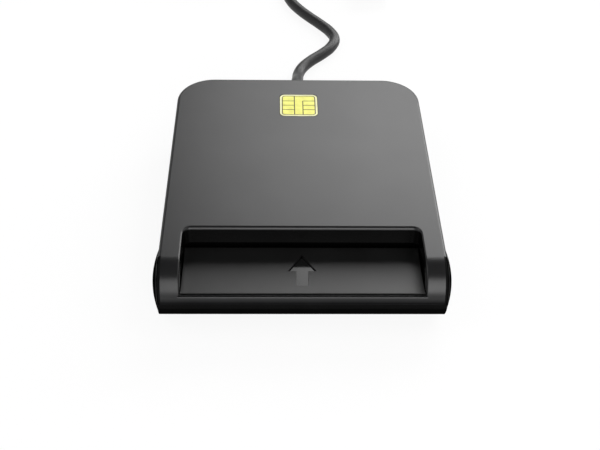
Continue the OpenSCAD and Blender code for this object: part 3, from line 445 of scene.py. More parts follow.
case = {
    "wall": 1.8, "edgeFillet": 0.8, "cornerRadius": 10.0, "filletSteps": 6, "cornerSteps": 20,
    "rollSteps": 30, "microBevel": 0.1,
}
recess = {
    "side": trayHigh.x + 0.15, "rearY": trayHigh.y + 0.55, "corner": 1.9, "wall": 1.5,
    "sideFillet": 0.42, "rearFillet": 0.8, "slotTop": 11.9, "slotBack": 1.2,
    "lipTop": 11.05, "lipLand": 0.62, "lipFillet": 0.55, "seatZ": 10.15, "seatY": -38.5,
}


def rollPoint(x, angle, radius=rollRadius):
    # angle 180 is the front at the joint, 90 the top of the roll
    a = math.radians(angle)
    return Vector((x, rollY + radius * math.cos(a), rollZ + radius * math.sin(a)))


def rollOut(angle):
    a = math.radians(angle)
    return Vector((0, math.cos(a), math.sin(a)))


lipAngle = 180 - math.degrees(math.asin((recess["lipTop"] - rollZ) / rollRadius))
lipStart = lipAngle + math.degrees(recess["lipFillet"] / rollRadius)
lowAngles = [180 + (lipStart - 180) * i / 6 for i in range(7)]
highAngles = [lipAngle + (90 - lipAngle) * i / case["rollSteps"] for i in range(case["rollSteps"] + 1)]
rollAngles = lowAngles + highAngles


def outerEdge():
    # The long edge of a half case: over the left roll, round the back and down the right roll
    r, back = case["cornerRadius"], []
    left = [(rollPoint(-halfWidth, a), xAxis, -rollOut(a)) for a in rollAngles]
    centre = Vector((-halfWidth + r, rearY - r, topZ))
    for i in range(case["cornerSteps"] + 1):
        a = math.radians(180 - 90 * i / case["cornerSteps"])
        out = Vector((math.cos(a), math.sin(a), 0))
        back.append((centre + r * out, -out, -zAxis))
    half = left + back
    other = [(mirrored([p])[0], mirrored([t])[0], w) for p, t, w in reversed(half)]
    return half + other, len(left)


def halfCase(plateHoles=()):
    # Skin of the upper half without its plate, roll bands and floor: edge strip, walls and roll ends
    bm = bmesh.new()
    stations, onRoll = outerEdge()
    rows = [filletRow(p, t, w, case["edgeFillet"], case["filletSteps"]) for p, t, w in stations]
    bridgeAll(bm, rows)
    walls = rows[onRoll - 1:len(rows) - onRoll + 1]
    ends = [row[-1] for row in walls]
    feet = [Vector((p.x, p.y, rollZ)) for p in ends]
    bridge(bm, ends, feet)
    for part in (rows[:onRoll], rows[len(rows) - onRoll:][::-1]):
        fill(bm, [row[-1] for row in part] + [Vector((part[-1][-1].x, rollY, rollZ))])
    return bm, rows, walls, feet


def rollBand(bm, angles, xs):
    for a, b in zip(angles, angles[1:]):
        bridge(bm, [rollPoint(x, a) for x in xs], [rollPoint(x, b) for x in xs])


def recessEdge():
    # The recess's rim: up from the lip, along the left side, round the back and down the right side
    side, rear, r = recess["side"], recess["rearY"], recess["corner"]
    small, large = recess["sideFillet"], recess["rearFillet"]
    left = [(rollPoint(-side, a), -xAxis, -rollOut(a), small) for a in highAngles]
    centre = Vector((-side + r, rear - r, topZ))
    steps = 10
    for i in range(steps + 1):
        a = math.radians(180 - 90 * i / steps)
        out = Vector((math.cos(a), math.sin(a), 0))
        ease = (1 - math.cos(math.pi * i / steps)) / 2
        left.append((centre + r * out, out, -zAxis, small + (large - small) * ease))
    return left + [(mirrored([p])[0], mirrored([t])[0], w, s) for p, t, w, s in reversed(left)]


def topBlock():
    bm, rows, walls, feet = halfCase()
    side, small, r = recess["side"], recess["sideFillet"], recess["corner"]
    rim = [filletRow(p, t, w, s, case["filletSteps"]) for p, t, w, s in recessEdge()]
    bridgeAll(bm, rim)
    n = len(highAngles)
    # Plate
    fill(bm, [row[0] for row in walls] + [row[0] for row in rim[n - 1:len(rim) - n + 1]][::-1])
    # Roll: below the lip right across, above it on the two cheeks
    inner, outer = side + small, halfWidth - case["edgeFillet"]
    rollBand(bm, lowAngles, [-outer, -inner, inner, outer])
    for sign in (-1, 1):
        rollBand(bm, [lipStart] + highAngles, [sign * inner, sign * outer])
    # Lip: a small fillet, then a land that runs in towards the roll's axis
    corner, out = rollPoint(0, lipAngle), rollOut(lipAngle)
    along = Vector((0, out.z, -out.y)) * -1
    nose = filletRow(corner, along, -out, recess["lipFillet"], 8)
    nose[0] = rollPoint(0, lipStart)
    atX = lambda p, x: Vector((x, p.y, p.z))
    for a, b in zip(nose, nose[1:]):
        bridge(bm, [atX(a, -inner), atX(a, inner)], [atX(b, -inner), atX(b, inner)])
    for x in (-inner, inner):
        fill(bm, [atX(p, x) for p in nose] + [rollPoint(x, lipAngle)])
    landIn = rollPoint(0, lipAngle, rollRadius - recess["lipLand"])
    fill(bm, rim[0] + [atX(landIn, -side), atX(landIn, side)] + rim[-1][::-1]
         + [atX(nose[-1], inner), atX(nose[-1], -inner)])
    # Lip's back, seat and the pocket's open floor
    seatOut = Vector((0, landIn.y, recess["seatZ"]))
    seatIn = Vector((0, recess["seatY"], recess["seatZ"]))
    seatLow = Vector((0, recess["seatY"], rollZ))
    back = [landIn, seatOut, seatIn, seatLow]
    for a, b in zip(back, back[1:]):
        bridge(bm, [atX(a, -side), atX(a, side)], [atX(b, -side), atX(b, side)])
    # Rear wall, slot ceiling and the wall behind the slot
    slotTop, slotY = recess["slotTop"], recess["rearY"] + recess["wall"] + recess["slotBack"]
    arc = [row[-1] for row in rim[n:len(rim) - n]]
    arcLow = [Vector((p.x, p.y, slotTop)) for p in arc]
    bridge(bm, arc, arcLow)
    fill(bm, arcLow + [Vector((side, slotY, slotTop)), Vector((-side, slotY, slotTop))])
    bridge(bm, [Vector((-side, slotY, slotTop)), Vector((side, slotY, slotTop))],
           [Vector((-side, slotY, rollZ)), Vector((side, slotY, rollZ))])
    # Side walls of the recess
    wall = [row[-1] for row in rim[:n + 1]] + [arcLow[0]]
    wall += [Vector((-side, slotY, slotTop)), Vector((-side, slotY, rollZ))]
    wall += [atX(p, -side) for p in reversed(back)]
    fill(bm, wall)
    fill(bm, mirrored(wall))
    # Floor of the block, with the pocket left open
    floor = rows[0] + feet + rows[-1][::-1]
    floor += [Vector((inner, frontY, rollZ)), Vector((-inner, frontY, rollZ))]
    hole = [Vector((-side, slotY, rollZ)), Vector((side, slotY, rollZ)),
            Vector((side, recess["seatY"], rollZ)), Vector((-side, recess["seatY"], rollZ))]
    fill(bm, floor, hole)
    weld(bm)
    return bm


def prism(bm, outline, low, high):
    # Closed upright prism of a list of (x, y)
    ring = [*outline, outline[0]]
    bridge(bm, [Vector((x, y, low)) for x, y in ring], [Vector((x, y, high)) for x, y in ring])
    for z in (low, high):
        fill(bm, [Vector((x, y, z)) for x, y in outline])


def roundedBox(width, length, radius, x=0.0, y=0.0, steps=8):
    # Plan of a rectangle with round corners
    points = []
    for quarter, (sx, sy) in enumerate(((1, 1), (-1, 1), (-1, -1), (1, -1))):
        for i in range(steps + 1):
            a = math.pi / 2 * (quarter + i / steps)
            points.append((x + sx * (width / 2 - radius) + radius * math.cos(a),
                           y + sy * (length / 2 - radius) + radius * math.sin(a)))
    return points


def lathe(bm, profile, origin, axis="z", steps=96):
    # Closed turned form: profile is a list of (radius, distance along the axis)
    along = {"x": xAxis, "y": yAxis, "z": zAxis}[axis]
    side = {"x": yAxis, "y": zAxis, "z": xAxis}[axis]
    other = along.cross(side)
    turns = [2 * math.pi * i / steps for i in range(steps + 1)]
    bridgeAll(bm, [[Vector(origin) + d * along + r * (math.cos(a) * side + math.sin(a) * other)
                    for a in turns] for r, d in profile])


def made(name, build):
    # A loose object from a function that fills a bmesh
    bm = bmesh.new()
    build(bm)
    weld(bm)
    return looseObject(name, bm)


def merge(obj, *adders):
    for adder in adders:
        join = obj.modifiers.new("join", "BOOLEAN")
        join.operation, join.solver, join.object = "UNION", "EXACT", adder
        baked(obj)
        bpy.data.objects.remove(adder)
    return obj


def casePlan(inset, front):
    # Plan of the case behind a line, with its two round rear corners
    reach, corner, points = halfWidth - inset, case["cornerRadius"] - inset, [(halfWidth - inset, front)]
    for side in (1, -1):
        for i in range(13):
            a = math.radians(90 * i / 12 if side > 0 else 90 + 90 * i / 12)
            points.append((side * (halfWidth - case["cornerRadius"]) + corner * math.cos(a),
                           rearY - case["cornerRadius"] + corner * math.sin(a)))
    return points + [(-reach, front)]


def rollBores(radius, low=3.65):
    # Round holes for the end caps' spigots
    def build(bm):
        for side in (-1, 1):
            inner, outer = side * (halfWidth - low), side * (halfWidth + 1)
            lathe(bm, [(0, inner), (radius, inner), (radius, outer), (0, outer)], (0, rollY, rollZ), "x")
    return made("bores", build)


reliefZ = (reliefLow.z + reliefHigh.z) / 2
fasteners = {"rear": (26.0, 34.0), "front": (18.0, -30.0), "boss": 2.5, "pilot": 1.05}


def reliefTab(bm):
    # Tongue over the strain relief, seen from behind below the joint
    half, hole, steps = 2.4, 2.5, 16
    start = math.acos(half / hole)
    arc = [start + (math.pi - 2 * start) * i / steps for i in range(steps + 1)]
    outline = [(hole * math.cos(a), reliefZ + hole * math.sin(a)) for a in arc]
    outline += [(-half, rollZ + 1), (half, rollZ + 1)]
    rings = [[Vector((x, y, z)) for x, z in outline] for y in (rearY - case["wall"], rearY - 0.05)]
    bridge(bm, rings[0] + rings[0][:1], rings[1] + rings[1][:1])
    for ring in rings:
        fill(bm, ring)


def makeTopCover():
    bm = topBlock()
    outer = [e for e in bm.edges if all(abs(v.co.z - rollZ) < 1e-3 for v in e.verts)
             and not all(abs(v.co.x) < recess["side"] + 0.01 and v.co.y < rearY - 5
                         and v.co.y > frontY + 0.5 for v in e.verts)
             and len({f.normal.z < -0.9 for f in e.link_faces}) == 2]
    bmesh.ops.bevel(bm, geom=outer, offset=case["microBevel"], offset_type="OFFSET", segments=2,
                    profile=0.5, affect="EDGES", clamp_overlap=True)
    cover = looseObject("top_cover_shell", bm)
    wallBack = recess["rearY"] + recess["wall"]
    cavity = made("cavity", lambda b: prism(b, casePlan(case["wall"], wallBack), rollZ - 1, topZ - case["wall"]))
    rebate = made("rebate", lambda b: prism(b, casePlan(case["wall"] / 2, wallBack + 0.4), rollZ - 1, rollZ + 1.25))
    seat = made("seat", lambda b: prism(b, roundedBox(emblemHigh.x * 2 + 0.1, emblemHigh.y - emblemLow.y + 0.1,
                                                      1.25, y=(emblemHigh.y + emblemLow.y) / 2),
                                        emblemLow.z, topZ + 1))
    carve(cover, cavity, rebate, rollBores(6.1), seat)
    x, y = fasteners["rear"]

    def inside(bm):
        for side in (-1, 1):
            tube(bm, side * x, y, rollZ, topZ - 0.9, fasteners["boss"])
            low, high = sorted((side * (recess["side"] - 1.6), side * (recess["side"] + 1.5)))
            block(bm, (low, trayLow.y + 2.6, 7.69), (high, trayHigh.y, 8.89))
        reliefTab(bm)

    merge(cover, made("inside", inside))
    pilots = made("pilots", lambda b: [tube(b, side * x, y, rollZ - 1, 13.9, fasteners["pilot"]) for side in (-1, 1)])
    carve(cover, pilots)
    shade(cover)
    cover.data.materials.clear()
    cover.data.materials.append(satinBlackAndJointShade)
    cover.data.materials.append(wallBlack)
    cover.data.materials.append(baseBlackAndCapGapShade)
    side, rear, ring = recess["side"], recess["rearY"], halfWidth - case["edgeFillet"] + 0.01
    for face in cover.data.polygons:
        c, n = face.center, face.normal
        rearWall = rear - 2 < c.y < rear + 3 and abs(c.x) <= side + 0.01 and c.z < topZ - 0.8 and abs(n.z) < 0.3
        sideWall = abs(abs(c.x) - side) < 0.02 and abs(n.x) > 0.9 and c.y < rear + 3
        # painted shade: the end faces and edge fillets on the front half of the roll take the darker matt black, for a
        # dark gap at the caps
        capGapShade = abs(c.x) > ring and c.y < rollY
        face.material_index = 1 if rearWall or sideWall else 2 if capGapShade else 0
    return finishPiece(cover, None, nodes=["top_cover"])


topCover = makeTopCover()
print("top cover made")

# Case: bottom cover, from the CAD's own form with its edges broken


def dressed(node, name, width=0.1, angle=40, segments=2):
    # A merged copy of a CAD node with small round edges
    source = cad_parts[node]
    bm = bmesh.new()
    bm.from_mesh(source.data)
    bmesh.ops.scale(bm, vec=(1 / mm,) * 3, verts=bm.verts)
    bmesh.ops.remove_doubles(bm, verts=bm.verts, dist=1e-3)
    bmesh.ops.dissolve_limit(bm, angle_limit=math.radians(0.5), verts=bm.verts, edges=bm.edges)
    piece = looseObject(name, bm)
    if width:
        softenEdges(piece, width, angle, segments)
    return shade(piece)


bottomCover = finishPiece(dressed("bottom_cover", "bottom_cover_shell"), baseBlackAndCapGapShade,
                          nodes=["bottom_cover"])
print("bottom cover made")

# Card tray: a dished floor with an arrow engraved in it

tray = {"sag": 0.65, "lipZ": 11.05, "rearZ": 10.75, "seatZ": 10.15, "baseZ": 8.89, "tongue": 1.3,
        "gap": 0.4, "edge": 0.16, "arcSteps": 48, "arrowTip": -25.7, "arrowHead": 5.35, "arrowLength": 10.5,
        "arrowHalf": 3.4, "stemHalf": 1.4, "arrowZ": 9.84}


def makeTray():
    half, front, rear = trayHigh.x, trayLow.y + tray["gap"], trayHigh.y
    a, b = Vector((rear, tray["rearZ"])), Vector((front, tray["lipZ"]))
    chord = b - a
    radius = chord.length_squared / (8 * tray["sag"]) + tray["sag"] / 2
    up = Vector((chord.y, -chord.x)).normalized()
    centre = (a + b) / 2 + up * (radius - tray["sag"])

    def onArc(y):
        return centre.y - math.sqrt(radius ** 2 - (y - centre.x) ** 2)

    edge, steps = tray["edge"], tray["arcSteps"]
    ys = [rear - edge + (front - rear + 2 * edge) * i / steps for i in range(steps + 1)]
    top = [(y, onArc(y)) for y in ys]
    turn = [math.radians(90 * (1 - i / 5)) for i in range(5)]
    rearRound = [(rear - edge + edge * math.cos(t), top[0][1] - edge + edge * math.sin(t)) for t in turn]
    frontRound = [(front + edge - edge * math.cos(t), top[-1][1] - edge + edge * math.sin(t)) for t in turn]
    under = [(front, tray["seatZ"]), (front + tray["tongue"], tray["seatZ"]),
             (front + tray["tongue"], tray["baseZ"]), (rear, tray["baseZ"])]
    profile = rearRound[::-1] + top[1:-1] + frontRound + [(front, top[-1][1] - edge)] + under

    def build(bm):
        rings = [[Vector((x, y, z)) for y, z in profile] for x in (-half, half)]
        bridge(bm, rings[0] + rings[0][:1], rings[1] + rings[1][:1])
        for ring in rings:
            fill(bm, ring)

    def arrow(bm):
        tip, head, end = tray["arrowTip"], tray["arrowTip"] - tray["arrowHead"], tray["arrowTip"] - tray["arrowLength"]
        wide, stem = tray["arrowHalf"], tray["stemHalf"]
        prism(bm, [(0, tip), (-wide, head), (-stem, head), (-stem, end), (stem, end), (stem, head), (wide, head)],
              tray["arrowZ"], tray["lipZ"] + 1)

    piece = made("card_tray_floor", build)
    x, y = fasteners["front"]
    merge(piece, made("bosses", lambda b: [tube(b, s * x, y, 6.2, tray["baseZ"] + 0.6, fasteners["boss"])
                                           for s in (-1, 1)]))
    pilots = made("pilots", lambda b: [tube(b, s * x, y, 5, 9.34, fasteners["pilot"]) for s in (-1, 1)])
    carve(piece, pilots, made("arrow", arrow))
    shade(piece)
    piece.data.materials.clear()
    piece.data.materials.append(trayBlack)
    piece.data.materials.append(arrowBlack)
    for face in piece.data.polygons:
        face.material_index = int(abs(face.center.z - tray["arrowZ"]) < 0.01 and face.normal.z > 0.9)
    return finishPiece(piece, None, nodes=["card_tray"])


trayPiece = makeTray()
print("tray made")

# End caps: shallow gloss domes on hollow spigots

caps = {"rim": 7.4, "bulge": 1.6, "lip": 0.12, "edge": 0.16, "spigot": 5.95, "spigotLength": 2.8,
        "wall": 1.4, "domeSteps": 24}


def makeCap(side):
    rim, lip, bulge = caps["rim"], caps["lip"], caps["bulge"] - caps["lip"]
    radius = (rim ** 2 + bulge ** 2) / (2 * bulge)
    profile = [(rim * i / caps["domeSteps"], 0) for i in range(caps["domeSteps"] + 1)]
    profile = [(r, lip + bulge - radius + math.sqrt(radius ** 2 - r ** 2)) for r, _ in profile]
    inner = caps["spigot"] - caps["wall"]
    profile += [(rim, 0), (caps["spigot"], 0), (caps["spigot"], -caps["spigotLength"]),
                (inner, -caps["spigotLength"]), (inner, 0), (0, 0)]

    def build(bm):
        lathe(bm, [(r, side * d) for r, d in profile], (side * halfWidth, rollY, rollZ), "x", 128)

    name = "left" if side < 0 else "right"
    piece = softenEdges(made("end_cap_dome_" + name, build), caps["edge"], 50, 3)
    return finishPiece(shade(piece, 40), capBlack, nodes=["end_cap_" + name])


for side in (-1, 1):
    makeCap(side)
print("end caps made")

# Chip picture: gold fields over a dark ground, inside a pale rim

chip = {"edge": 0.08, "rim": 0.5, "line": 0.27, "raise": 0.02, "corner": 1.4, "column": 1.15,
        "rows": (-2.05, 0, 2.05)}


def makeChip():
    width, length = emblemHigh.x * 2, emblemHigh.y - emblemLow.y
    y, low, high = (emblemHigh.y + emblemLow.y) / 2, emblemLow.z, topZ + chip["raise"]

    def plan(inset, corner):
        return roundedBox(width - 2 * inset, length - 2 * inset, corner, y=y)

    ground = made("chip_ground", lambda b: prism(b, plan(0.02, chip["corner"]), low, high - 0.03))
    rim = made("rim", lambda b: prism(b, plan(chip["edge"], chip["corner"]), low + 0.02, high))
    inset = chip["edge"] + chip["rim"]
    carve(rim, made("hole", lambda b: prism(b, plan(inset, chip["corner"] - chip["rim"]), low - 1, high + 1)))
    inset += chip["line"]
    fields = made("fields", lambda b: prism(b, plan(inset, chip["corner"] - inset + 0.1), low + 0.02, high))
    half, reach, column = chip["line"] / 2, 6, chip["column"]

    def columns(bm):
        block(bm, (-column - half, y - reach, low - 1), (-column + half, y + reach, high + 1))
        block(bm, (column - half, y - reach, low - 1), (column + half, y + chip["rows"][2], high + 1))

    def rows(bm):
        for row in chip["rows"]:
            block(bm, (-reach, y + row - half, low - 1), (-column, y + row + half, high + 1))
            block(bm, (column, y + row - half, low - 1), (reach, y + row + half, high + 1))

    carve(fields, made("columns", columns), made("rows", rows))
    for piece, ink in ((ground, darkInk), (rim, paleGold), (fields, goldInk)):
        piece.data.materials.append(ink)
    softenEdges(rim, 0.025, 50, 1)
    softenEdges(fields, 0.02, 50, 1)
    with bpy.context.temp_override(active_object=ground, selected_editable_objects=[ground, rim, fields]):
        bpy.ops.object.join()
    return finishPiece(shade(ground), None, nodes=["chip_emblem"])


chipPiece = makeChip()
print("chip picture made")

# Feet and the blank label

feet = {"profile": [(0, 0), (3.45, 0), (3.7, 0.05), (3.88, 0.16), (3.98, 0.34), (4, 0.55), (4, 1.6), (0, 1.6)]}


def makeFoot(node):
    low, high = boxOf(node)
    middle = (low + high) / 2
    piece = made(node + "_pad", lambda b: lathe(b, feet["profile"], (middle.x, middle.y, 0), steps=64))
    return finishPiece(shade(piece), rubber, nodes=[node])


for node in ("foot_front_left", "foot_front_right", "foot_rear_left", "foot_rear_right"):
    makeFoot(node)

labelLow, labelHigh = boxOf("rating_label")
labelPiece = made("blank_label", lambda b: prism(
    b, roundedBox(labelHigh.x - labelLow.x, labelHigh.y - labelLow.y, 1.6, y=(labelHigh.y + labelLow.y) / 2),
    labelLow.z, labelHigh.z))
finishPiece(shade(softenEdges(labelPiece, 0.04, 50, 1)), labelPaper, nodes=["rating_label"])
print("feet and label made")

# Screws: one turned screw, set out on points by Geometry Nodes

screwSet = {"head": 1.9, "headHeight": 1.4, "crown": 0.35, "shank": 1.0, "thread": 0.14, "pitch": 0.8,
            "cross": 2.1, "crossWidth": 0.52, "crossDepth": 0.9, "seed": 7}


def newTree(name, *inputs):
    # A node group with a geometry in and out, and named inputs
    tree = bpy.data.node_groups.new(name, "GeometryNodeTree")
    tree.interface.new_socket("Geometry", in_out="INPUT", socket_type="NodeSocketGeometry")
    for label, kind in inputs:
        tree.interface.new_socket(label, in_out="INPUT", socket_type=kind)
    tree.interface.new_socket("Geometry", in_out="OUTPUT", socket_type="NodeSocketGeometry")
    return tree, tree.nodes.new("NodeGroupInput"), tree.nodes.new("NodeGroupOutput")


def runTree(obj, tree, **values):
    # The node group with its inputs set by identifier, turned to a plain mesh
    modifier = obj.modifiers.new("nodes", "NODES")
    modifier.node_group = tree
    sockets = {item.name: item.identifier for item in tree.interface.items_tree if item.in_out == "INPUT"}
    for label, value in values.items():
        modifier[sockets[label.replace("_", " ")]] = value
    return baked(obj)


def addNode(tree, kind, links=(), **settings):
    # A node with its settings, and its inputs joined to sockets or given a value
    node = tree.nodes.new(kind)
    for key, value in settings.items():
        setattr(node, key, value)
    for socket, source in links:
        target = node.inputs[socket]
        if isinstance(source, bpy.types.NodeSocket):
            tree.links.new(source, target)
        else:
            target.default_value = source
    return node


def settingTree():
    # Copies of one part on every point, each turned by its own amount about the upright axis
    tree, given, out = newTree("set_out", ("Part", "NodeSocketObject"), ("Seed", "NodeSocketInt"),
                               ("Finish", "NodeSocketMaterial"))
    part = addNode(tree, "GeometryNodeObjectInfo", [("Object", given.outputs["Part"])])
    turn = addNode(tree, "FunctionNodeRandomValue", data_type="FLOAT_VECTOR",
                   links=[("Min", (0, 0, 0)), ("Max", (0, 0, math.pi)), ("Seed", given.outputs["Seed"])])
    points = addNode(tree, "GeometryNodeMeshToPoints", [("Mesh", given.outputs["Geometry"])])
    copies = addNode(tree, "GeometryNodeInstanceOnPoints",
                     [("Points", points.outputs[0]), ("Instance", part.outputs["Geometry"]),
                      ("Rotation", turn.outputs["Value"])])
    real = addNode(tree, "GeometryNodeRealizeInstances", [("Geometry", copies.outputs[0])])
    done = addNode(tree, "GeometryNodeSetMaterial",
                   [("Geometry", real.outputs[0]), ("Material", given.outputs["Finish"])])
    tree.links.new(done.outputs[0], out.inputs["Geometry"])
    return tree


setOut = settingTree()


def makeScrews(node, name, head, headHeight, shank, length, down=True):
    # A pan head with a crossed recess on a threaded shank, the head at the low end unless turned over
    low, high = boxOf(node)
    crown, sign = screwSet["crown"], 1 if down else -1
    profile = [(0, 0), (head * 0.45, 0.02), (head * 0.75, crown * 0.35), (head * 0.93, crown * 0.8),
               (head, crown * 1.3), (head, headHeight), (shank, headHeight)]
    z, core = headHeight + 0.5, shank - screwSet["thread"]
    while z < length - 1.2:
        profile += [(core, z), (shank, z + 0.3), (shank, z + 0.38), (core, z + 0.68)]
        z += screwSet["pitch"]
    profile += [(core, length - 0.7), (core * 0.35, length), (0, length)]
    turned = made("turned", lambda b: lathe(b, [(r, sign * d) for r, d in profile], (0, 0, 0), steps=40))
    wide, long = screwSet["crossWidth"] / 2 * head / 1.9, screwSet["cross"] / 2 * head / 1.9
    depth = screwSet["crossDepth"] * head / 1.9
    cross = [(wide, -long), (wide, -wide), (long, -wide), (long, wide), (wide, wide), (wide, long),
             (-wide, long), (-wide, wide), (-long, wide), (-long, -wide), (-wide, -wide), (-wide, -long)]
    carve(turned, made("cross", lambda b: prism(b, cross, min(sign * -1, sign * depth), max(sign * -1, sign * depth))))
    places = bpy.data.meshes.new(name)
    z = low.z if down else high.z
    spots = [(low.x + head, (low.y + high.y) / 2, z), (high.x - head, (low.y + high.y) / 2, z)]
    places.from_pydata(spots, [], [])
    piece = bpy.data.objects.new(name, places)
    bpy.context.scene.collection.objects.link(piece)
    runTree(piece, setOut, Part=turned, Seed=screwSet["seed"], Finish=steel)
    bpy.data.objects.remove(turned)
    return finishPiece(shade(piece, 30), steel, nodes=[node])


makeScrews("front_screws", "front_case_screws", 1.9, 1.4, 1.0, 6.15)
makeScrews("rear_screws", "rear_case_screws", 1.9, 1.4, 1.0, 7.0)
makeScrews("board_screws", "board_fixing_screws", 1.7, 1.2, 0.9, 6.2, down=False)
print("screws set")

# Ribs: rings or bars repeated along a line by Geometry Nodes

def ribTree():
    # Copies of one rib from Start to End along the line, scaled from First to Last
    tree, given, out = newTree("ribs", ("Rib", "NodeSocketObject"), ("Count", "NodeSocketInt"),
                               ("Start", "NodeSocketVector"), ("End", "NodeSocketVector"),
                               ("First", "NodeSocketFloat"), ("Last", "NodeSocketFloat"),
                               ("Finish", "NodeSocketMaterial"))
    line = addNode(tree, "GeometryNodeCurvePrimitiveLine",
                   [("Start", given.outputs["Start"]), ("End", given.outputs["End"])])
    points = addNode(tree, "GeometryNodeCurveToPoints", mode="COUNT",
                     links=[("Curve", line.outputs[0]), ("Count", given.outputs["Count"])])
    number = addNode(tree, "GeometryNodeInputIndex")
    size = addNode(tree, "ShaderNodeMapRange",
                   links=[("Value", number.outputs[0]), ("From Min", 0.0), ("From Max", given.outputs["Count"]),
                          ("To Min", given.outputs["First"]), ("To Max", given.outputs["Last"])])
    rib = addNode(tree, "GeometryNodeObjectInfo", [("Object", given.outputs["Rib"])])
    copies = addNode(tree, "GeometryNodeInstanceOnPoints",
                     [("Points", points.outputs[0]), ("Instance", rib.outputs["Geometry"]),
                      ("Scale", size.outputs["Result"])])
    both = addNode(tree, "GeometryNodeJoinGeometry", [("Geometry", copies.outputs[0])])
    tree.links.new(given.outputs["Geometry"], both.inputs["Geometry"])
    real = addNode(tree, "GeometryNodeRealizeInstances", [("Geometry", both.outputs[0])])
    done = addNode(tree, "GeometryNodeSetMaterial",
                   [("Geometry", real.outputs[0]), ("Material", given.outputs["Finish"])])
    tree.links.new(done.outputs[0], out.inputs["Geometry"])
    return tree


ribbing = ribTree()

# Strain relief: a bush in the rear wall with a ribbed, tapered boot

relief = {"flange": 3.5, "neck": 2.4, "bore": 1.77, "inner": (37.2, 38.6), "outer": (40.6, 41.9), "end": 48.1,
          "rootRadius": 3.0, "tipRadius": 2.2, "ribs": 4, "ribWidth": 0.55, "ribHeight": 0.28}


def makeRelief():
    r = relief
    y0, y1 = r["inner"]
    y2, y3 = r["outer"]
    profile = [(r["bore"], y0), (r["flange"] - 0.2, y0), (r["flange"], y0 + 0.2), (r["flange"], y1 - 0.2),
               (r["flange"] - 0.2, y1), (r["neck"], y1), (r["neck"], y2), (r["flange"] - 0.15, y2),
               (r["flange"], y2 + 0.2), (r["flange"], y3 - 0.45), (r["flange"] - 0.12, y3 - 0.18),
               (r["flange"] - 0.42, y3), (r["rootRadius"], y3 + 0.1), (r["tipRadius"] + 0.12, r["end"] - 0.5),
               (r["tipRadius"], r["end"] - 0.14), (r["tipRadius"] - 0.2, r["end"]), (r["bore"], r["end"]),
               (r["bore"], y0)]
    piece = made("strain_relief_boot", lambda b: lathe(b, profile, (0, 0, reliefZ), "y", 64))
    half, high, root = r["ribWidth"] / 2, r["ribHeight"], r["rootRadius"]
    ring = [(root - 0.5, -half), (root + high * 0.7, -half), (root + high, -half * 0.5), (root + high, half * 0.5),
            (root + high * 0.7, half), (root - 0.5, half), (root - 0.5, -half)]
    rib = made("rib", lambda b: lathe(b, ring, (0, 0, 0), "y", 48))
    runTree(piece, ribbing, Rib=rib, Count=r["ribs"], Start=(0, y3 + 1.1, reliefZ), End=(0, r["end"] - 1.2, reliefZ),
            First=1.0, Last=0.78, Finish=gripSkin)
    bpy.data.objects.remove(rib)
    return finishPiece(shade(piece), gripSkin, nodes=["strain_relief"])


makeRelief()

# Plug grip: a soft rectangle that narrows to its bend relief, ribbed on both flanks

grip = {"x": 27.0, "z": 4.0, "width": 15.6, "height": 8.0, "corner": 2.4, "face": 125.5, "shoulder": 151.5,
        "end": 158.5, "bootRadius": 3.2, "tipRadius": 2.2, "shell": (12.1, 4.6, 4.05), "waist": 0.35,
        "ribs": 7, "ribFrom": 133.0, "ribTo": 147.4, "ribWidth": 0.9, "ribHeight": 0.3}


def gripSection(y, width, height, corner):
    points = roundedBox(width, height, min(corner, height / 2, width / 2), steps=6)
    return [Vector((grip["x"] + x, y, grip["z"] + z)) for x, z in points]


def makeGrip():
    g = grip
    sections = []
    for inset, y in ((0.5, 0.0), (0.2, 0.12), (0.05, 0.32), (0.0, 0.6)):
        sections.append((g["face"] + y, g["width"] - 2 * inset, g["height"] - 2 * inset, g["corner"] - inset))
    first, last = g["face"] + 0.6, g["shoulder"] - 1.8
    for i in range(1, 13):
        share = i / 12
        dip = g["waist"] * math.sin(math.pi * share) ** 2
        sections.append((first + (last - first) * share, g["width"] - 2 * dip, g["height"], g["corner"]))
    root = g["bootRadius"]
    for i in range(1, 7):
        a = math.radians(15 * i)
        width = 2 * (g["width"] / 2 - (1 - math.cos(a)) * (g["width"] / 2 - root))
        height = 2 * (g["height"] / 2 - (1 - math.cos(a)) * (g["height"] / 2 - root))
        corner = g["corner"] + (root - g["corner"]) * (1 - math.cos(a))
        sections.append((last + 1.8 * math.sin(a), width, height, corner))
    for share in (0.25, 0.5, 0.75, 0.94):
        r = root + (g["tipRadius"] - root) * share
        sections.append((g["shoulder"] + (g["end"] - g["shoulder"]) * share, 2 * r, 2 * r, r))
    sections.append((g["end"], 2 * g["tipRadius"] - 0.3, 2 * g["tipRadius"] - 0.3, g["tipRadius"]))
    rings = [gripSection(*section) for section in sections]

    def build(bm):
        bridgeAll(bm, [ring + ring[:1] for ring in rings])
        fill(bm, rings[0])
        fill(bm, rings[-1])

    piece = made("usb_grip_moulding", build)
    w, h, deep = g["shell"]
    carve(piece, made("opening", lambda b: block(b, (g["x"] - w / 2, g["face"] - 1, g["z"] - h / 2),
                                                 (g["x"] + w / 2, g["face"] + deep, g["z"] + h / 2))))
    softenEdges(piece, 0.08, 60, 1)
    bar = made("bar", lambda b: block(b, (-g["width"] / 2 + 0.12, -g["ribWidth"] / 2, -g["height"] / 2 + 1.7),
                                      (g["width"] / 2 - 0.12, g["ribWidth"] / 2, g["height"] / 2 - 1.7)))
    softenEdges(bar, 0.22, 60, 3)
    runTree(piece, ribbing, Rib=bar, Count=g["ribs"], Start=(g["x"], g["ribFrom"], g["z"]),
            End=(g["x"], g["ribTo"], g["z"]), First=1.0, Last=1.0, Finish=gripSkin)
    bpy.data.objects.remove(bar)
    return finishPiece(shade(piece), gripSkin, nodes=["usb_grip"])


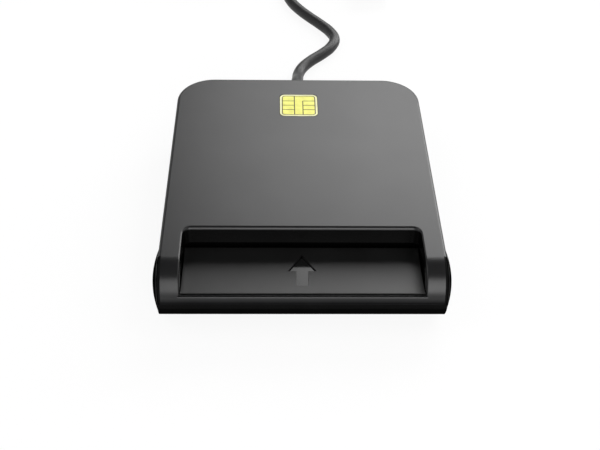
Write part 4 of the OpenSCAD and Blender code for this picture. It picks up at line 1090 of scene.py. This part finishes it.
gripPiece = makeGrip()
shellPiece = finishPiece(dressed("usb_shell", "usb_shell_folded", 0.12, 60), nickel,
                         nodes=["usb_shell"])
print("plug made")

# Strap round the coil: one turn of hook tape with its end laid over

strap = {"thickness": 0.2, "round": 1.95, "lap": 6.5, "step": 0.02, "width": 4.0}


def makeStrap():
    low, high = boxOf("lead_tie")
    x, z = (low.x + high.x) / 2, (low.z + high.z) / 2
    y0, y1, thick = low.y, high.y, strap["thickness"]
    wide, tall = high.x - low.x, high.z - low.z
    outer = [(x + a, z + b) for a, b in roundedBox(wide, tall, strap["round"], steps=10)]
    inner = [(x + a, z + b) for a, b in roundedBox(wide - 2 * thick, tall - 2 * thick,
                                                  strap["round"] - thick, steps=10)]

    def build(bm):
        loops = [(outer, y0 + 0.05), (outer, y1 - 0.05), ([((a + c) / 2, (b + d) / 2) for (a, b), (c, d)
                                                           in zip(outer, inner)], y1),
                 (inner, y1 - 0.05), (inner, y0 + 0.05), ([((a + c) / 2, (b + d) / 2) for (a, b), (c, d)
                                                           in zip(outer, inner)], y0), (outer, y0 + 0.05)]
        bridgeAll(bm, [[Vector((a, y, b)) for a, b in ring + ring[:1]] for ring, y in loops])

    def lap(bm):
        top, end = high.z - 0.02, x + wide / 2 - strap["round"]
        half = (y1 - y0) / 2 - 0.1
        middle = (y0 + y1) / 2
        outline = [(end, middle - half), (end, middle + half)]
        outline += [(end - strap["lap"] - half * 0.6 * math.sin(a), middle + half * math.cos(a))
                    for a in [math.pi * i / 10 for i in range(11)]]
        prism(bm, outline, top, top + thick)

    band = made("coil_strap", build)
    end = softenEdges(made("lap", lap), 0.05, 60, 1)
    with bpy.context.temp_override(active_object=band, selected_editable_objects=[band, end]):
        bpy.ops.object.join()
    return finishPiece(shade(band), strapCloth, nodes=["lead_tie"])


strapPiece = makeStrap()

# Lead: its finish and place

leadPiece.data.materials.append(leadSkin)
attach(leadPiece, "reader")
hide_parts("inner_jacket", "lead_tube", "lead_coil", "lead_tail")
print("lead finished")

# Four wires from the lead's end to the socket on the board

wireSet = {"pitch": 1.6, "bundle": 0.6, "radius": 0.4, "jacketY": 34.3, "crimpY": 25.4, "crimpZ": 6.8,
           "colours": {"red": (0.5, 0.02, 0.02), "white": (0.75, 0.75, 0.73), "green": (0.02, 0.3, 0.06),
                       "black": (0.015, 0.015, 0.015)}}


def makeWires():
    w, builds = wireSet, []
    for i, (name, colour) in enumerate(w["colours"].items()):
        place, lift = i - 1.5, 1 if i % 2 == 0 else -1
        wide, tight = place * w["pitch"], place * w["bundle"]
        route = [(tight, w["jacketY"], reliefZ + lift * w["bundle"]),
                 (tight, w["jacketY"] - 1, reliefZ + lift * w["bundle"]),
                 ((wide + tight) / 2, (w["jacketY"] + w["crimpY"]) / 2, (reliefZ + w["crimpZ"]) / 2),
                 (wide, w["crimpY"] + 1, w["crimpZ"]), (wide, w["crimpY"], w["crimpZ"])]
        curve = bpy.data.curves.new("wire", "CURVE")
        curve.dimensions, curve.resolution_u, curve.bevel_resolution = "3D", 6, 4
        curve.bevel_depth, curve.use_fill_caps = w["radius"], True
        spline = curve.splines.new("BEZIER")
        spline.bezier_points.add(len(route) - 1)
        for point, spot in zip(spline.bezier_points, route):
            point.co = spot
            point.handle_left_type = point.handle_right_type = "AUTO"
        wire = bpy.data.objects.new("wire_" + name, curve)
        bpy.context.scene.collection.objects.link(wire)
        mesh = bpy.data.meshes.new_from_object(wire.evaluated_get(bpy.context.evaluated_depsgraph_get()))
        bpy.data.objects.remove(wire)
        wire = bpy.data.objects.new("wire_" + name, mesh)
        bpy.context.scene.collection.objects.link(wire)
        skin = moulded("wire_" + name, [c * 0.85 for c in colour], colour, 0.35, grain=0.3, depth=0.002)
        mesh.materials.clear()
        mesh.materials.append(skin)
        builds.append(wire)
    with bpy.context.temp_override(active_object=builds[0], selected_editable_objects=builds):
        bpy.ops.object.join()
    builds[0].name = "signal_wires"
    return finishPiece(builds[0], None, nodes=["inner_wires"])


makeWires()
print("wires laid")

# Parts that keep their CAD form: each gets its own finish


def speckled(name, dark, light, roughness, size, **sockets):
    coat = finish(name, light, roughness, **sockets)
    tint(coat, patternNode(coat, "ShaderNodeTexNoise", size, 4), dark, light)
    roughen(coat, patternNode(coat, "ShaderNodeTexNoise", size * 2, 3), roughness * 0.8, roughness * 1.2)
    emboss(coat, size * 0.02, patternNode(coat, "ShaderNodeTexNoise", size, 3))
    return coat


board = speckled("board_green", (0.008, 0.07, 0.025), (0.015, 0.11, 0.045), 0.3, 1.5, Coat_Weight=0.4)
framePlastic = moulded("frame_black", (0.012, 0.012, 0.012), (0.022, 0.022, 0.022), 0.5)
gold = metal("contact_gold", (0.75, 0.5, 0.16), (0.9, 0.66, 0.28), 0.22, brush=0.08)
ivory = moulded("lever_ivory", (0.6, 0.57, 0.47), (0.7, 0.67, 0.58), 0.45)
chipBody = moulded("chip_black", (0.012, 0.012, 0.012), (0.022, 0.022, 0.022), 0.6, grain=0.08)
can = metal("can_steel", (0.5, 0.5, 0.5), (0.68, 0.68, 0.68), 0.25, brush=0.1, stretch=(8, 1, 1))
ceramic = speckled("ceramic_brown", (0.3, 0.19, 0.1), (0.42, 0.3, 0.18), 0.5, 0.3)
resistor = speckled("resistor_black", (0.015, 0.015, 0.018), (0.03, 0.03, 0.034), 0.4, 0.2)
aluminium = metal("can_aluminium", (0.6, 0.6, 0.61), (0.75, 0.75, 0.76), 0.3, brush=0.1, stretch=(1, 1, 8))
resin = speckled("led_resin", (0.6, 0.7, 0.55), (0.72, 0.82, 0.66), 0.2, 0.4, Transmission_Weight=0.3)
socketIvory = moulded("socket_ivory", (0.62, 0.58, 0.46), (0.72, 0.68, 0.56), 0.45)
coats = {"circuit_board": board, "connector_frame": framePlastic, "contact_tails": gold,
         "switch_housing": framePlastic, "switch_lever": ivory, "controller_chip": chipBody, "crystal": can,
         "ceramic_capacitors": ceramic, "resistors": resistor, "electrolytic_capacitor": aluminium,
         "status_led": resin, "board_socket": socketIvory, "socket_plug": socketIvory,
         "usb_tongue": tongueWhite, "usb_contacts": gold}
coats.update({"contact_c" + str(i): gold for i in range(1, 9)})
for node, coat in coats.items():
    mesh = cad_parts[node].data
    for i in range(len(mesh.materials)):
        mesh.materials[i] = coat
print("inner parts finished")

# Floor and light

studio = {"floor": (0.8, 0.8, 0.8), "floorGlow": 0.9, "worldZenith": 0.03, "worldMiddle": 0.2, "worldLow": 1.0}


def whiteToLens(tree, shader, strength=1.0, share=1.0):
    # The same surface or sky, seen by the camera and in gloss as plain white
    rays = tree.nodes.new("ShaderNodeLightPath")
    either = tree.nodes.new("ShaderNodeMath")
    both = tree.nodes.new("ShaderNodeMath")
    part = tree.nodes.new("ShaderNodeMath")
    either.operation = both.operation = "MAXIMUM"
    part.operation = "MULTIPLY"
    part.inputs[1].default_value = share
    tree.links.new(rays.outputs["Is Camera Ray"], either.inputs[0])
    tree.links.new(rays.outputs["Is Glossy Ray"], either.inputs[1])
    tree.links.new(either.outputs[0], both.inputs[0])
    tree.links.new(rays.outputs["Is Transmission Ray"], both.inputs[1])
    tree.links.new(both.outputs[0], part.inputs[0])
    white = tree.nodes.new("ShaderNodeEmission")
    white.inputs["Strength"].default_value = strength
    mix = tree.nodes.new("ShaderNodeMixShader")
    tree.links.new(part.outputs[0], mix.inputs["Fac"])
    tree.links.new(shader, mix.inputs[1])
    tree.links.new(white.outputs[0], mix.inputs[2])
    return mix.outputs[0]


def makeFloor():
    bm = bmesh.new()
    bmesh.ops.create_grid(bm, x_segments=1, y_segments=1, size=4)
    floor = looseObject("floor", bm)
    paper = bpy.data.materials.new("floor_paper")
    paper.use_nodes = True
    tree = paper.node_tree
    shader = tree.nodes["Principled BSDF"]
    shader.inputs["Base Color"].default_value = (*studio["floor"], 1)
    shader.inputs["Roughness"].default_value = 0.9
    shader.inputs["Specular IOR Level"].default_value = 0.1
    mixed = whiteToLens(tree, shader.outputs[0], share=studio["floorGlow"])
    tree.links.new(mixed, tree.nodes["Material Output"].inputs["Surface"])
    floor.data.materials.append(paper)


def makeWorld():
    world = bpy.data.worlds.new("studio")
    bpy.context.scene.world = world
    world.use_nodes = True
    tree = world.node_tree
    sky = tree.nodes["Background"]
    place = tree.nodes.new("ShaderNodeTexCoord")
    split = tree.nodes.new("ShaderNodeSeparateXYZ")
    ramp = tree.nodes.new("ShaderNodeValToRGB")
    tree.links.new(place.outputs["Generated"], split.inputs[0])
    tree.links.new(split.outputs["Z"], ramp.inputs["Fac"])
    low, middle, high = studio["worldLow"], studio["worldMiddle"], studio["worldZenith"]
    stops = ((0.0, low), (0.24, low), (0.5, middle), (0.87, high))
    while len(ramp.color_ramp.elements) < len(stops):
        ramp.color_ramp.elements.new(0.5)
    for stop, (place, level) in zip(ramp.color_ramp.elements, stops):
        stop.position, stop.color = place, (level, level, level, 1)
    tree.links.new(ramp.outputs["Color"], sky.inputs["Color"])


def softbox(name, azimuths, elevations, level, distance=0.8):
    # A plain lamp that faces the object between two azimuths and two elevations; 0 is behind it, 90 to its right
    a, e = (math.radians(sum(pair) / 2) for pair in (azimuths, elevations))
    wide, high = (math.radians(abs(pair[1] - pair[0]) / 2) for pair in (azimuths, elevations))
    width, height = 2 * distance * math.tan(wide * math.cos(e)), 2 * distance * math.tan(high)
    way = Vector((math.sin(a) * math.cos(e), math.cos(a) * math.cos(e), math.sin(e)))
    lamp = bpy.data.lights.new(name, "AREA")
    lamp.shape, lamp.size, lamp.size_y = "RECTANGLE", width, height
    lamp.energy = level * math.pi * width * height
    box = bpy.data.objects.new(name, lamp)
    bpy.context.scene.collection.objects.link(box)
    box.matrix_world = Matrix.Translation(way * distance) @ way.to_track_quat("Z", "Y").to_matrix().to_4x4()
    box.visible_camera = False


makeFloor()
makeWorld()
softbox("rear_softbox", (-9, 36), (22, 51), 4.0)
softbox("rear_right_softbox", (4, 36), (22, 51), 1.75)
softbox("edge_softbox", (30, 55), (4, 34), 6.0)
softbox("front_softbox", (155, 191), (3, 47.5), 5.3)
softbox("right_softbox", (65, 125), (34, 68), 2.2)
softbox("left_softbox", (235, 295), (34, 68), 2.2)
bpy.context.scene.view_settings.view_transform = "Standard"
print("floor and light made")
